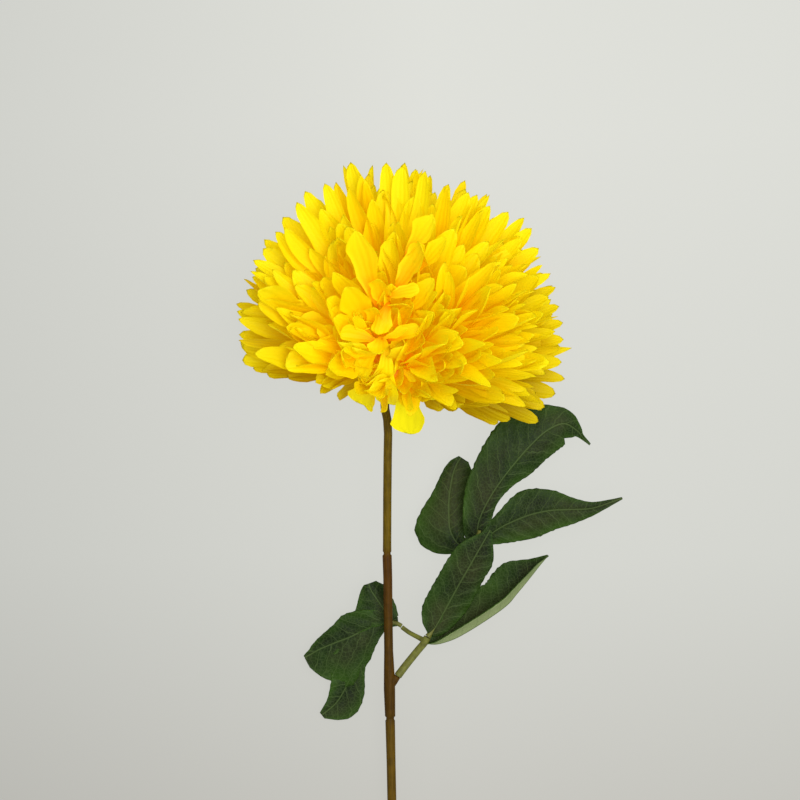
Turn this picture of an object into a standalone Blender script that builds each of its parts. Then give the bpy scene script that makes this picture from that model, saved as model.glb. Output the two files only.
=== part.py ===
"""A cut pompon chrysanthemum lying on a surface, with one leafy side shoot.

X runs to the flower's right, Y along the stem towards the bloom and Z up, away from the surface.
The bloom looks up and leans back towards +Y. It rests on the florets pressed flat behind it and
on the cut end of the stem. The whole is modelled round a point near the bloom's heart and is moved
at the end, so that the origin is the middle of the underside of its bounding box.
"""

import math
import random

import bmesh
import bpy
from mathutils import Matrix, Vector

MM = 0.001

# Bloom: its heart, the way its whorl of short florets looks and the axis of the whole dome
HEART = Vector((3.5, 0, 39)) * MM
WHORL_AXIS = Vector((-8, 10.5, 20)).normalized()
DOME_TILT = math.radians(60)
DOME_LEAN = math.radians(9)
DOME_AXIS = Vector((
    math.sin(DOME_TILT) * math.sin(DOME_LEAN),
    math.sin(DOME_TILT) * math.cos(DOME_LEAN),
    math.cos(DOME_TILT),
))
DOME_SPAN = math.radians(104)

# How far the longest florets reach, seen from above, by the angle from +X in degrees
REACHES = (
    (-180, 72), (-172, 65), (-160, 50), (-120, 42), (-90, 46), (-60, 41), (-38, 45), (-24, 70),
    (-12, 77), (0, 80), (20, 81), (48, 93), (65, 91), (85, 91), (103, 96), (128, 85), (145, 81),
    (165, 76), (180, 72),
)
HEART_SHARE = 0.27
FULL_REACH_LEAN = math.radians(62)
FULLNESS_CURVE = 1.25

# Florets, in a spiral from the whorl outwards: curled and short inside, open and long outside
FLORET_COUNT = 240
FLORET_SEED = 239
SPIRAL_END = math.radians(150)
GOLDEN_ANGLE = math.pi * (3 - math.sqrt(5))
STEEPEST_FALL = 0.56
WHORL_EDGE = 0.9
OPEN_LEAN = math.radians(95)
FLORET_ROOT_RADIUS = 12 * MM
FLORET_ROOT_DEPTH = 2.5 * MM
FLORET_WIDTH_INNER = 11.5 * MM
FLORET_WIDTH_OUTER = 14 * MM
FLORET_THICKNESS = 1.3 * MM
FLORET_BEND_INNER = 1.1
FLORET_BEND_OUTER = -0.1
FLORET_CUP_INNER = 0.55
FLORET_CUP_OUTER = 0.3
FLORET_STATIONS = (0.0, 0.4, 0.7, 0.92, 1.0)
FLORET_PROFILE = ((0.0, 0.12), (0.4, 0.5), (0.7, 1.0), (0.92, 0.78), (1.0, 0.0))

# How much one floret differs from the next: angles in radians, landing in metres, the rest shares
FLORET_VARIATION = {
    "lean": (-0.05, 0.05), "turn": (-0.12, 0.12), "spread": (0.91, 1.03), "bend": (-0.2, 0.2),
    "roll": (-0.3, 0.3), "width": (0.85, 1.1), "cup": (-0.1, 0.1), "landing": (-0.8 * MM, -0.35 * MM),
}

# The surface presses the florets behind the bloom flat over the last few millimetres
SOFT_LANDING = 4 * MM
LANDED_EDGE_RISE = 0.6 * FLORET_THICKNESS
LANDED_TOP_RISE = 1.2 * FLORET_THICKNESS
SURFACE_CUTTER_SIZE = Vector((0.6, 0.8, 0.02))
SURFACE_CUTTER_MIDDLE = Vector((0, -0.1, -0.01))

# Receptacle and calyx: (distance from the dome's axis, height along it), from the heart
RECEPTACLE_SECTION = ((0, -9), (10, -9), (14.5, -6.5), (17, -1), (15.5, 6), (11, 11), (5.5, 14), (0, 14.8))
CALYX_SECTION = ((0, -9.3), (9.6, -9.3), (10.4, -10.6), (9.2, -14), (6.2, -17.2), (3.4, -19.4), (0, -19.4))
TURNED_SIDES = 16
BRACT_COUNT = 14
BRACT_SEED = 5
BRACT_ROOT_RADIUS = 5.5 * MM
BRACT_ROOT_HEIGHT = -14.2 * MM
BRACT_OPENING = math.radians(62)
BRACT_OPENING_SPREAD = math.radians(6)
BRACT_TURN_SPREAD = 0.15
BRACT_PROFILE = ((0, 0.8), (0.4, 1), (0.75, 0.72))
BRACT_LENGTH = 13 * MM
BRACT_WIDTH = 5.2 * MM
BRACT_THICKNESS = 1.1 * MM

# Stem: middle line and radius, from under the calyx to the plain cut end
STEM = (
    (-0.19, -16.69, 29.13, 2.1), (-0.56, -18.38, 28.13, 2.05), (-0.4, -21.5, 26.7, 2.0),
    (0.3, -26.5, 25.3, 1.95), (0.6, -33, 24.2, 1.95), (0.4, -43, 22.8, 1.95),
    (0.2, -62, 20.6, 1.95), (0.1, -84, 18.4, 1.95), (0.1, -87.6, 18, 2.0), (0.1, -88.2, 18, 1.65),
    (0.1, -89, 17.9, 1.65), (0.1, -89.6, 17.8, 2.15), (0.4, -100, 16.9, 2.1), (0.7, -118, 15.3, 2.05),
    (1, -134, 13.9, 2.1), (1.3, -142, 13.2, 2.4), (1.6, -152, 12.3, 2.65), (1.9, -164.6, 11.2, 2.4),
    (1.9, -165.3, 11.1, 1.85), (1.9, -166.1, 11.1, 1.85), (1.9, -166.8, 11, 2.25),
    (2.3, -185, 9.4, 2.1), (2.9, -215, 6.8, 2.1), (3.5, -245, 4.4, 2.1), (4, -275, 2.1, 2.15),
)
PEG = ((1.4, -151, 12.4, 2.1), (3.2, -148.4, 12.6, 2.1), (4.9, -145.8, 12.7, 1.95))
STALK = (
    (5.1, -145.5, 12.7, 1.75), (8.6, -140.6, 12.9, 1.75), (14.2, -133.6, 13.8, 1.7),
    (17.2, -130.1, 14.6, 1.7), (19.13, -127.68, 15.2, 1.75),
)
STALK_ARM = ((17.6, -128.8, 14.7, 1.4), (15.6, -126.4, 13.2, 1.15), (11, -124, 10.9, 1.05), (7.9, -121.9, 9.7, 1.05))
LOWER_PETIOLE = ((19.36, -127.4, 15.3, 1.5), (20.8, -125.6, 15.9, 1.3), (22.6, -123, 16.8, 1.1), (25, -119.8, 17.6, 0.9))
UPPER_PETIOLE = (
    (19.6, -128.6, 12.2, 1.0), (24.5, -122.5, 9.8, 1.0), (31, -110, 9.4, 1.0),
    (37.5, -95, 11.2, 1.05), (41.6, -84.6, 13.4, 1.1), (43.4, -78, 14.6, 0.8),
)
LEFT_PETIOLE = ((7.6, -121.7, 9.6, 1.0), (4.5, -120.8, 9.3, 1.0), (-0.5, -121, 9.3, 0.8))

# Leaf lobes: x, y and z of the midrib, reach to its left and right, and how far each edge rises
LEAF_THICKNESS = 0.8 * MM
LOBE_INNER_SHARE = 0.55
LOBE_CURVE = 1.6
LEFT_LEAF = (
    (
        (5.6, -120.6, 9.4, 2, 2, 0, 0), (-1.4, -121.4, 9.4, 4.6, 6, -0.5, 0.6),
        (-9.2, -124.2, 9.2, 12, 9.5, -1.5, 1.2), (-16.6, -127.9, 8.6, 18, 11.4, -3, 0.5),
        (-23.5, -130.6, 7.8, 20, 8.6, -3.5, -0.8), (-31.3, -133.6, 6.8, 14, 5.6, -2.5, -1.4),
        (-38, -136.4, 5.4, 0.7, 0.7, 0, 0),
    ),
    (
        (2.8, -120.2, 9.6, 2.6, 4.2, 0, 0.6), (-0.9, -115.4, 10, 15, 7, -1.8, -1.6),
        (-4.1, -110.6, 10.4, 11.2, 6.6, -1.6, -2.4), (-6.9, -105.8, 10.6, 4.8, 6.4, -1.4, -3.2),
        (-8.4, -102.4, 10.2, 1.9, 3.6, -0.6, -1.6),
    ),
    (
        (-4.2, -124.2, 8.8, 1.5, 2.5, 0, 0), (-9.6, -133, 7.4, 1.6, 9, 0, 0.5),
        (-14.4, -143, 5.6, 4.9, 12.5, -0.8, 0.9), (-18.8, -151.8, 4.2, 8.4, 8.2, -1.6, 0.8),
        (-23.6, -159.2, 3.1, 8.4, 5, -1.4, 0.8), (-29.9, -164.4, 2.4, 1.6, 1.4, -0.2, 0.2),
    ),
)
LOWER_LEAF = (
    (
        (20.9, -125.4, 16.2, 1.8, 1.5, 0, 0), (25.3, -118.7, 18, 9.2, 7, 1.5, -1),
        (29.4, -110.9, 20.4, 12, 9, 2, -1.5), (33.6, -103, 23, 11.2, 8.8, 1.5, -1.8),
        (37.7, -95.7, 25.6, 10.2, 7.4, 0.8, -1.8), (42.3, -87.4, 28.2, 8.2, 6.3, 0, -1.6),
        (48, -77.3, 30, 0.7, 0.7, 0, 0),
    ),
    (
        (21.5, -127.6, 15.4, 1.6, 0.9, 0.4, 0.4), (27.4, -129.6, 14.8, 9, -2.6, 2.4, 4.4),
        (33.8, -127.4, 15.4, 14, -3.8, 3, 6.4), (44.8, -120.5, 17, 16, -4, 3, 7.4),
        (55.9, -113.4, 19, 14.8, -4, 2.4, 7.4), (60.7, -107.4, 20.4, 14.4, -3.2, 1.8, 6.4),
        (65.9, -100.5, 22.2, 11.4, -2.4, 1, 4.8), (71, -93.5, 24.4, 4, -1.4, 0.4, 2.2),
        (75.4, -88.3, 26.4, 0.5, 0.5, 0, 0),
    ),
)
UPPER_LEAF = (
    (
        (40.5, -86.6, 13, 1.2, 2.5, -0.3, 0), (34.6, -85, 12.2, 4.4, 4, -1, 0),
        (31.6, -82, 11.6, 11.5, 6, -2.4, -0.3), (29.6, -77, 11.2, 15.8, 8.5, -3.6, -0.8),
        (29.2, -69.5, 10.8, 13.3, 10, -3, -1.6), (29.4, -62, 10.6, 9.6, 9.6, -2, -2),
        (30.8, -53.4, 10, 6, 10.4, -1.4, -2), (32.6, -48, 9.4, 4.2, 9.6, -1, -1.4),
        (34.6, -44.4, 8.8, 1, 1.4, 0, 0),
    ),
    (
        (41.6, -84, 13.8, 4.5, 1.5, 0, 0), (43.2, -73.6, 15, 8, 5.2, 0.6, -1.2),
        (47.8, -63.5, 16.6, 11.6, 3.9, 1.2, -1.2), (53.8, -54.3, 18, 13, 5.1, 1, -2),
        (60.3, -46, 19, 16, 8.4, 0.4, -3.2), (67.2, -38.2, 19.4, 17, 9.6, -1, -3.6),
        (74.6, -31.6, 19, 14, 10.4, -2, -3.4), (82.4, -28.4, 17.6, 7.2, 8.8, -1.6, -2.4),
        (92, -33.2, 14.4, 0.7, 0.7, 0, 0),
    ),
    (
        (42.2, -84, 13.6, 1.5, 1.5, 0, 0), (48.8, -79.6, 14, 5.2, 5.6, 0.2, -1),
        (55.7, -75.4, 14.6, 8.6, 8.4, 0.4, -1.8), (66.2, -71, 15.8, 12.2, 10.2, 0, -2.4),
        (76.4, -68.7, 17, 9.8, 9.4, -0.6, -2.2), (86.9, -68.2, 18, 5.4, 6.7, -0.6, -1.4),
        (96.1, -67.5, 18.6, 2.8, 3.2, -0.2, -0.4), (109.6, -62.8, 19.6, 0.5, 0.5, 0, 0),
    ),
)


def mixed(low, high, share):
    """The value that lies share of the way from low to high."""
    return low + (high - low) * share


def smooth(share):
    """Eases a share of 0 to 1 in and out."""
    share = min(1.0, max(0.0, share))
    return share * share * (3 - 2 * share)


def looked_up(pairs, key):
    """Reads a table of (key, value) pairs, in straight lines between the entries."""
    for (start, low), (end, high) in zip(pairs, pairs[1:]):
        if key <= end:
            return mixed(low, high, (key - start) / (end - start))
    return pairs[-1][1]


def new_collection(name):
    """An empty collection linked to the scene."""
    collection = bpy.data.collections.new(name)
    bpy.context.scene.collection.children.link(collection)
    return collection


def material(name, colour, roughness):
    """A plain dielectric material."""
    made = bpy.data.materials.new(name)
    made.use_nodes = True
    shader = made.node_tree.nodes["Principled BSDF"]
    shader.inputs["Base Color"].default_value = (*colour, 1)
    shader.inputs["Roughness"].default_value = roughness
    shader.inputs["Metallic"].default_value = 0
    return made


def paint(solid, finish):
    """Gives a solid one material throughout."""
    solid.data.materials.clear()
    solid.data.materials.append(finish)


def object_of(name, shape, collection):
    """A mesh object made of a bmesh, which is freed."""
    mesh = bpy.data.meshes.new(name)
    bmesh.ops.recalc_face_normals(shape, faces=shape.faces)
    shape.to_mesh(mesh)
    shape.free()
    made = bpy.data.objects.new(name, mesh)
    collection.objects.link(made)
    return made


def applied(body):
    """Applies the modifiers of an object, or turns a curve into a mesh object."""
    bpy.context.view_layer.update()
    graph = bpy.context.evaluated_depsgraph_get()
    mesh = bpy.data.meshes.new_from_object(body.evaluated_get(graph))
    if body.type == "MESH":
        body.modifiers.clear()
        body.data = mesh
        return body
    name = body.name
    solid = bpy.data.objects.new(name, mesh)
    solid.matrix_world = body.matrix_world
    body.users_collection[0].objects.link(solid)
    bpy.data.objects.remove(body)
    solid.name = name
    return solid


def joined(body, pieces, solver="EXACT"):
    """Joins every object of the collection into body with one Boolean union, and removes them."""
    union = body.modifiers.new("join", "BOOLEAN")
    union.operation = "UNION"
    union.operand_type = "COLLECTION"
    union.collection = pieces
    union.solver = solver
    applied(body)
    for piece in list(pieces.objects):
        bpy.data.objects.remove(piece)
    bpy.data.collections.remove(pieces)
    return body


def trimmed_below(body):
    """Takes off what lies under the surface the flower rests on."""
    cutters = new_collection("cutters")
    shape = bmesh.new()
    bmesh.ops.create_cube(shape, size=1)
    size = Matrix.Diagonal((*SURFACE_CUTTER_SIZE, 1))
    bmesh.ops.transform(shape, matrix=Matrix.Translation(SURFACE_CUTTER_MIDDLE) @ size, verts=shape.verts)
    cutter = object_of("surface", shape, cutters)
    cutter.hide_render = True
    cutter.display_type = "WIRE"
    cut = body.modifiers.new("rest", "BOOLEAN")
    cut.operation = "DIFFERENCE"
    cut.object = cutter
    cut.solver = "MANIFOLD"
    applied(body)
    bpy.data.objects.remove(cutter)
    bpy.data.collections.remove(cutters)
    return body


def without_pockets(body):
    """Keeps the outer skin, the shell with the most faces, and fills the pockets closed inside it."""
    shape = bmesh.new()
    shape.from_mesh(body.data)
    unseen = set(shape.faces)
    shells = []
    while unseen:
        shell = {unseen.pop()}
        front = list(shell)
        while front:
            for edge in front.pop().edges:
                for face in edge.link_faces:
                    if face in unseen:
                        unseen.remove(face)
                        shell.add(face)
                        front.append(face)
        shells.append(shell)
    shells.sort(key=len)
    for shell in shells[:-1]:
        bmesh.ops.delete(shape, geom=list(shell), context="FACES")
    shape.to_mesh(body.data)
    shape.free()
    return body


def tube(name, points, collection):
    """A closed round tube through points of x, y, z and radius in millimetres."""
    curve = bpy.data.curves.new(name, "CURVE")
    curve.dimensions = "3D"
    curve.bevel_depth = MM
    curve.bevel_resolution = 2
    curve.use_fill_caps = True
    line = curve.splines.new("POLY")
    line.points.add(len(points) - 1)
    for point, (x, y, z, radius) in zip(line.points, points):
        point.co = (x * MM, y * MM, z * MM, 1)
        point.radius = radius
    holder = bpy.data.objects.new(name, curve)
    collection.objects.link(holder)
    solid = applied(holder)
    shape = bmesh.new()
    shape.from_mesh(solid.data)
    bmesh.ops.remove_doubles(shape, verts=shape.verts, dist=0.00001)
    bmesh.ops.recalc_face_normals(shape, faces=shape.faces)
    shape.to_mesh(solid.data)
    shape.free()
    return solid


def turned(name, section, collection):
    """A solid of revolution round the dome's axis, from (radius, height) points about the heart."""
    shape = bmesh.new()
    points = [shape.verts.new((radius * MM, 0, height * MM)) for radius, height in reversed(section)]
    for start, end in zip(points, points[1:]):
        shape.edges.new((start, end))
    mesh = bpy.data.meshes.new(name)
    shape.to_mesh(mesh)
    shape.free()
    solid = bpy.data.objects.new(name, mesh)
    collection.objects.link(solid)
    screw = solid.modifiers.new("turn", "SCREW")
    screw.steps = TURNED_SIDES
    screw.render_steps = TURNED_SIDES
    screw.use_merge_vertices = True
    screw.merge_threshold = 0.00001
    applied(solid)
    facing = DOME_AXIS.to_track_quat("Z", "Y").to_matrix().to_4x4()
    solid.data.transform(Matrix.Translation(HEART) @ facing)
    return solid


def blade_solid(name, sections, tip, collection):
    """A thin blade through sections of left edge, upper middle, right edge and lower middle."""
    shape = bmesh.new()
    rings = [[shape.verts.new(point) for point in section] for section in sections]
    end = shape.verts.new(tip)
    shape.faces.new(rings[0])
    for ring, following in zip(rings, rings[1:]):
        for edge, middle in ((0, 1), (2, 1), (2, 3), (0, 3)):
            shape.faces.new((ring[edge], ring[middle], following[middle]))
            shape.faces.new((ring[edge], following[middle], following[edge]))
    for edge, middle in ((0, 1), (2, 1), (2, 3), (0, 3)):
        shape.faces.new((rings[-1][edge], rings[-1][middle], end))
    return object_of(name, shape, collection)


def floret_plan():
    """One dict of sizes and directions for each floret, from the whorl outwards along a spiral."""
    draw = random.Random(FLORET_SEED)
    right = (Vector((1, 0, 0)) - WHORL_AXIS * WHORL_AXIS.x).normalized()
    up = WHORL_AXIS.cross(right)
    plan = []
    for i in range(FLORET_COUNT):
        share = (i + 0.5) / FLORET_COUNT
        varied = {trait: draw.uniform(*limits) for trait, limits in FLORET_VARIATION.items()}
        lean = math.acos(1 - share * (1 - math.cos(SPIRAL_END))) + varied["lean"]
        turn = i * GOLDEN_ANGLE + varied["turn"]
        outwards = right * math.cos(turn) + up * math.sin(turn)
        direction = WHORL_AXIS * math.cos(lean) + outwards * math.sin(lean)
        if direction.angle(DOME_AXIS) > DOME_SPAN:
            continue
        if direction.z < -STEEPEST_FALL:
            if i % 2:
                continue
            level = Vector((direction.x, direction.y, 0)).normalized()
            direction = level * math.sqrt(1 - STEEPEST_FALL ** 2) - Vector((0, 0, STEEPEST_FALL))
        inwards = (DOME_AXIS - direction * DOME_AXIS.dot(direction)).normalized()
        if lean < WHORL_EDGE:
            towards_whorl = (WHORL_AXIS - direction * WHORL_AXIS.dot(direction)).normalized()
            inwards = towards_whorl.lerp(inwards, smooth(lean / WHORL_EDGE)).normalized()
        side = direction.cross(inwards)
        fullness = mixed(HEART_SHARE, 1, min(1, lean / FULL_REACH_LEAN) ** FULLNESS_CURVE)
        opened = smooth(lean / OPEN_LEAN)
        heading = math.degrees(math.atan2(direction.y, direction.x))
        reach = looked_up(REACHES, heading) * MM * fullness * varied["spread"]
        roll = varied["roll"]
        root = FLORET_ROOT_RADIUS - FLORET_ROOT_DEPTH
        plan.append({
            "root": direction * root,
            "direction": direction,
            "side": side * math.cos(roll) + inwards * math.sin(roll),
            "inwards": inwards * math.cos(roll) - side * math.sin(roll),
            "length": reach - root,
            "width": mixed(FLORET_WIDTH_INNER, FLORET_WIDTH_OUTER, opened) * varied["width"],
            "bend": mixed(FLORET_BEND_INNER, FLORET_BEND_OUTER, opened) + varied["bend"],
            "cup": mixed(FLORET_CUP_INNER, FLORET_CUP_OUTER, opened) + varied["cup"],
            "landing": varied["landing"],
        })
    return plan


def landed(point, height):
    """The point, eased upwards where it comes near or below a height over the surface."""
    soft = height + SOFT_LANDING
    if point.z >= soft:
        return point
    return Vector((point.x, point.y, height + SOFT_LANDING * math.exp((point.z - soft) / SOFT_LANDING)))


def floret_section(floret, along):
    """The left edge, upper middle, right edge and lower middle of a floret at a share of its length."""
    bend = floret["bend"]
    angle = bend * along
    middle = HEART + floret["root"]
    middle += floret["direction"] * floret["length"] * math.sin(angle) / bend
    middle += floret["inwards"] * floret["length"] * (1 - math.cos(angle)) / bend
    facing = floret["inwards"] * math.cos(angle) - floret["direction"] * math.sin(angle)
    half = floret["width"] / 2 * looked_up(FLORET_PROFILE, along)
    raised = facing * half * floret["cup"]
    thick = facing * FLORET_THICKNESS / 2
    low = floret["landing"]
    return (
        landed(middle - floret["side"] * half + raised, low + LANDED_EDGE_RISE),
        landed(middle + thick, low + LANDED_TOP_RISE),
        landed(middle + floret["side"] * half + raised, low + LANDED_EDGE_RISE),
        landed(middle - thick, low),
    )


def make_bloom(collection):
    """The receptacle with every floret rooted in it, joined into one solid."""
    bloom = turned("bloom", RECEPTACLE_SECTION, collection)
    florets = new_collection("florets")
    for number, floret in enumerate(floret_plan()):
        sections = [floret_section(floret, along) for along in FLORET_STATIONS]
        tip = (sections[-1][1] + sections[-1][3]) / 2
        blade_solid(f"floret_{number}", sections[:-1], tip, florets)
    without_pockets(trimmed_below(joined(bloom, florets, "MANIFOLD")))
    paint(bloom, material("yellow_floret", (0.95, 0.68, 0.0), 0.6))
    return bloom


def make_calyx(collection):
    """The green cup behind the bloom with a ring of pointed bracts standing off it."""
    calyx = turned("calyx", CALYX_SECTION, collection)
    bracts = new_collection("bracts")
    draw = random.Random(BRACT_SEED)
    right = (Vector((1, 0, 0)) - DOME_AXIS * DOME_AXIS.x).normalized()
    up = DOME_AXIS.cross(right)
    for number in range(BRACT_COUNT):
        turn = 2 * math.pi * (number + draw.uniform(-BRACT_TURN_SPREAD, BRACT_TURN_SPREAD)) / BRACT_COUNT
        outwards = right * math.cos(turn) + up * math.sin(turn)
        side = DOME_AXIS.cross(outwards)
        opening = BRACT_OPENING + draw.uniform(-BRACT_OPENING_SPREAD, BRACT_OPENING_SPREAD)
        direction = DOME_AXIS * math.cos(opening) + outwards * math.sin(opening)
        facing = DOME_AXIS * math.sin(opening) - outwards * math.cos(opening)
        root = HEART + DOME_AXIS * BRACT_ROOT_HEIGHT + outwards * BRACT_ROOT_RADIUS
        sections = []
        for along, wide in BRACT_PROFILE:
            middle = root + direction * BRACT_LENGTH * along
            half = side * BRACT_WIDTH / 2 * wide
            thick = facing * BRACT_THICKNESS / 2
            sections.append((middle - half, middle + thick, middle + half, middle - thick))
        blade_solid(f"bract_{number}", sections, root + direction * BRACT_LENGTH, bracts)
    joined(calyx, bracts)
    paint(calyx, material("green_calyx", (0.16, 0.24, 0.03), 0.5))
    return calyx


def make_stem(collection):
    """The stem with its two ring joints and the peg that carries the side stalk."""
    stem = tube("stem", STEM, collection)
    pegs = new_collection("pegs")
    tube("peg", PEG, pegs)
    trimmed_below(joined(stem, pegs))
    paint(stem, material("olive_brown_stem", (0.14, 0.09, 0.01), 0.45))
    return stem


def make_stalk(collection):
    """The side stalk and the arm that runs back under the stem to the left leaf."""
    stalk = tube("leaf_branch", STALK, collection)
    arms = new_collection("arms")
    tube("arm", STALK_ARM, arms)
    joined(stalk, arms)
    paint(stalk, material("green_stalk", (0.18, 0.2, 0.03), 0.45))
    return stalk


def lobe_sheet(name, stations, collection):
    """A leaf lobe as a sheet across its midrib, thickened, split alike on both faces."""
    shape = bmesh.new()
    rows = []
    for number, (x, y, z, left, right, left_rise, right_rise) in enumerate(stations):
        before = stations[max(0, number - 1)]
        after = stations[min(len(stations) - 1, number + 1)]
        heading = Vector((after[0] - before[0], after[1] - before[1])).normalized()
        row = []
        for reach, rise, share in (
                (-left, left_rise, 1), (-left, left_rise, LOBE_INNER_SHARE), (0, 0, 0),
                (right, right_rise, LOBE_INNER_SHARE), (right, right_rise, 1)):
            across = reach * share
            row.append(shape.verts.new((
                (x + heading.y * across) * MM,
                (y - heading.x * across) * MM,
                (z + rise * share ** LOBE_CURVE) * MM,
            )))
        rows.append(row)
    for row, following in zip(rows, rows[1:]):
        for k in range(len(row) - 1):
            shape.faces.new((row[k], row[k + 1], following[k + 1]))
            shape.faces.new((row[k], following[k + 1], following[k]))
    mesh = bpy.data.meshes.new(name)
    shape.to_mesh(mesh)
    shape.free()
    sheet = bpy.data.objects.new(name, mesh)
    collection.objects.link(sheet)
    thick = sheet.modifiers.new("thickness", "SOLIDIFY")
    thick.thickness = LEAF_THICKNESS
    thick.offset = 0
    thick.use_even_offset = True
    thick.thickness_clamp = 0
    return applied(sheet)


def make_leaf(name, lobes, petiole, collection):
    """A lobed leaf with its petiole, joined into one solid."""
    leaf = tube(name, petiole, collection)
    sheets = new_collection("lobes")
    for number, stations in enumerate(lobes):
        lobe_sheet(f"lobe_{number}", stations, sheets)
    return joined(leaf, sheets, "MANIFOLD")


def main():
    for old in list(bpy.data.objects):
        bpy.data.objects.remove(old)
    flower = new_collection("pompon_chrysanthemum")
    solids = [make_bloom(flower), make_calyx(flower), make_stem(flower), make_stalk(flower)]
    green = material("dark_green_leaf", (0.03, 0.09, 0.015), 0.4)
    for name, lobes, petiole in (
            ("leaf_left", LEFT_LEAF, LEFT_PETIOLE),
            ("leaf_lower", LOWER_LEAF, LOWER_PETIOLE),
            ("leaf_upper", UPPER_LEAF, UPPER_PETIOLE)):
        leaf = make_leaf(name, lobes, petiole, flower)
        paint(leaf, green)
        solids.append(leaf)
    corners = [solid.matrix_world @ vertex.co for solid in solids for vertex in solid.data.vertices]
    low = Vector([min(corner[axis] for corner in corners) for axis in range(3)])
    high = Vector([max(corner[axis] for corner in corners) for axis in range(3)])
    middle = (low + high) / 2
    for solid in solids:
        solid.data.transform(Matrix.Translation((-middle.x, -middle.y, -low.z)))


main()
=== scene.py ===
"""A cut pompon chrysanthemum lying on a pale surface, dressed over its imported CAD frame.

Station tables are in millimetres round a point under the bloom's heart, as the flower was measured:
X to its right, Y along the stem towards the bloom, Z up from the surface it lies on. Everything that is
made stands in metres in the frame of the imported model.
"""

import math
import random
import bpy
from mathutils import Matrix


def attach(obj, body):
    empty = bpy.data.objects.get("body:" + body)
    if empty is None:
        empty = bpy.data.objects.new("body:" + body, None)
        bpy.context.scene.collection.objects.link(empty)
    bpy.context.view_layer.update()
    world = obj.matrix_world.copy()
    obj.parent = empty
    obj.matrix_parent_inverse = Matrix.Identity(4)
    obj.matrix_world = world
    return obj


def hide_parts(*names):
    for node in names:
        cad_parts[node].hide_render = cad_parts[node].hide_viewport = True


bl_info = {
    "name": "Pompon chrysanthemum",
    "version": (1, 0, 0),
    "blender": (4, 5, 0),
    "location": "3D View > Sidebar > Flower",
    "description": "Makes the florets, calyx, stem, shoot and leaves of a cut pompon chrysanthemum",
    "category": "Object",
}

import bmesh
import bpy
from mathutils import Matrix, Vector

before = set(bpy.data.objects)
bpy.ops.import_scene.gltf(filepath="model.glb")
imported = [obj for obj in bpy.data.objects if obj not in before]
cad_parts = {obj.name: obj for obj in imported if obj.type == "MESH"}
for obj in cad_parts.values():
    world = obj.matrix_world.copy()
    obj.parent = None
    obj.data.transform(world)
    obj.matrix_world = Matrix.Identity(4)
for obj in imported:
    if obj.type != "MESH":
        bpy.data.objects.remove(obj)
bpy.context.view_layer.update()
BODY = "root"
MM = 0.001

# The cut end of the stem, as the flower was measured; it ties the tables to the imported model
CUT_END = Vector((4, -275.16, 0)) * MM

# Bloom: its heart, the way its whorl of short florets looks and the axis of the whole dome
HEART = Vector((3.5, 0, 39)) * MM
WHORL_AXIS = Vector((-5.5, 8.5, 22)).normalized()
DOME_TILT = math.radians(60)
DOME_LEAN = math.radians(9)
DOME_AXIS = Vector((
    math.sin(DOME_TILT) * math.sin(DOME_LEAN),
    math.sin(DOME_TILT) * math.cos(DOME_LEAN),
    math.cos(DOME_TILT),
))
DOME_SPAN = math.radians(104)

# How far the longest florets reach, seen from above, by the angle from +X in degrees
REACHES = (
    (-180, 71), (-175, 60), (-168, 41), (-160, 36), (-150, 30), (-140, 36), (-120, 38), (-90, 38),
    (-60, 36), (-48, 35), (-38, 39.5),
    (-24, 60), (-12, 75), (0, 80), (30, 80), (48, 83), (56, 87), (65, 90), (85, 91), (100, 93), (106, 88),
    (116, 83), (128, 85), (138, 77.5), (145, 82), (165, 76.5), (180, 71),
)
HEART_SHARE = 0.24
WHORL_LEAN = math.radians(27)
FULL_REACH_LEAN = math.radians(62)
FULLNESS_CURVE = 1.3

# Florets, in a spiral from the whorl outwards: curled and short inside, open and long outside
SPIRAL_LEANS = ((0, 0), (0.03, 20), (0.12, 42), (0.36, 65), (0.64, 86), (0.85, 110), (1, 150))
# The sides where florets stay short hold fewer of them: full crowding starts at this reach
CROWDED_REACH = 80
CROWDING_CURVE = 1.5
GOLDEN_ANGLE = math.pi * (3 - math.sqrt(5))
STEEPEST_FALL = 0.56
DOME_HEIGHT = 58 * MM
LEAST_RISE = 0.1
# The florets right round the whorl stay below it, at this height over the heart
WHORL_HEIGHT = 24 * MM
OPENING_LEAN = math.radians(25)
OPEN_LEAN = math.radians(88)
FLORET_ROOT_RADIUS = 9.5 * MM
FLORET_BEND_INNER = 0.75
FLORET_BEND_OUTER = -0.1
FLORET_CUP_INNER = 0.6
FLORET_CUP_OUTER = 0.5
FLORET_VARIATION = {
    "lean": (-0.08, 0.08), "turn": (-0.2, 0.2), "spread": (0.8, 1.03), "bend": (-0.48, 0.48),
    "roll": (-0.85, 0.85), "width": (0.78, 1.2), "cup": (-0.3, 0.3), "landing": (0.3 * MM, 0.9 * MM),
    "curl": (-0.1, 0.12), "twist": (-0.75, 0.75), "ruffle": (0.1, 0.42), "phase": (0.0, 6.28),
    "tone": (0.0, 1.0), "pointed": (0.15, 1.0),
}
# The florets round the whorl stray more than the outer ones, but turn and point less
WHORL_DISORDER = 1.35
WHORL_CALM = 0.4
# Florets sweep sideways by up to this share of their length, to and fro with their phase
FLORET_SWEEP = 0.11
SWEEP_TURNS = 3
# Florets that point lower than this share of their length upwards get painted shade: their colour is dulled
# where the dome's own shade falls on them
SKIRT_HEIGHT = 0.42
# On the left their painted shade is only this share as strong as on the right, and beside the stem as in
# front of it
SKIRT_LEFT = 0.8
SKIRT_SIDE = 0.5
# In front of the stem the skirt reaches higher, and it ends where florets point well away from the stem
SKIRT_FRONT_HEIGHT = 0.6
SKIRT_FRONT_START = 0.2
SKIRT_FRONT_GROWTH = 5
SKIRT_END = 0.5
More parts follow.
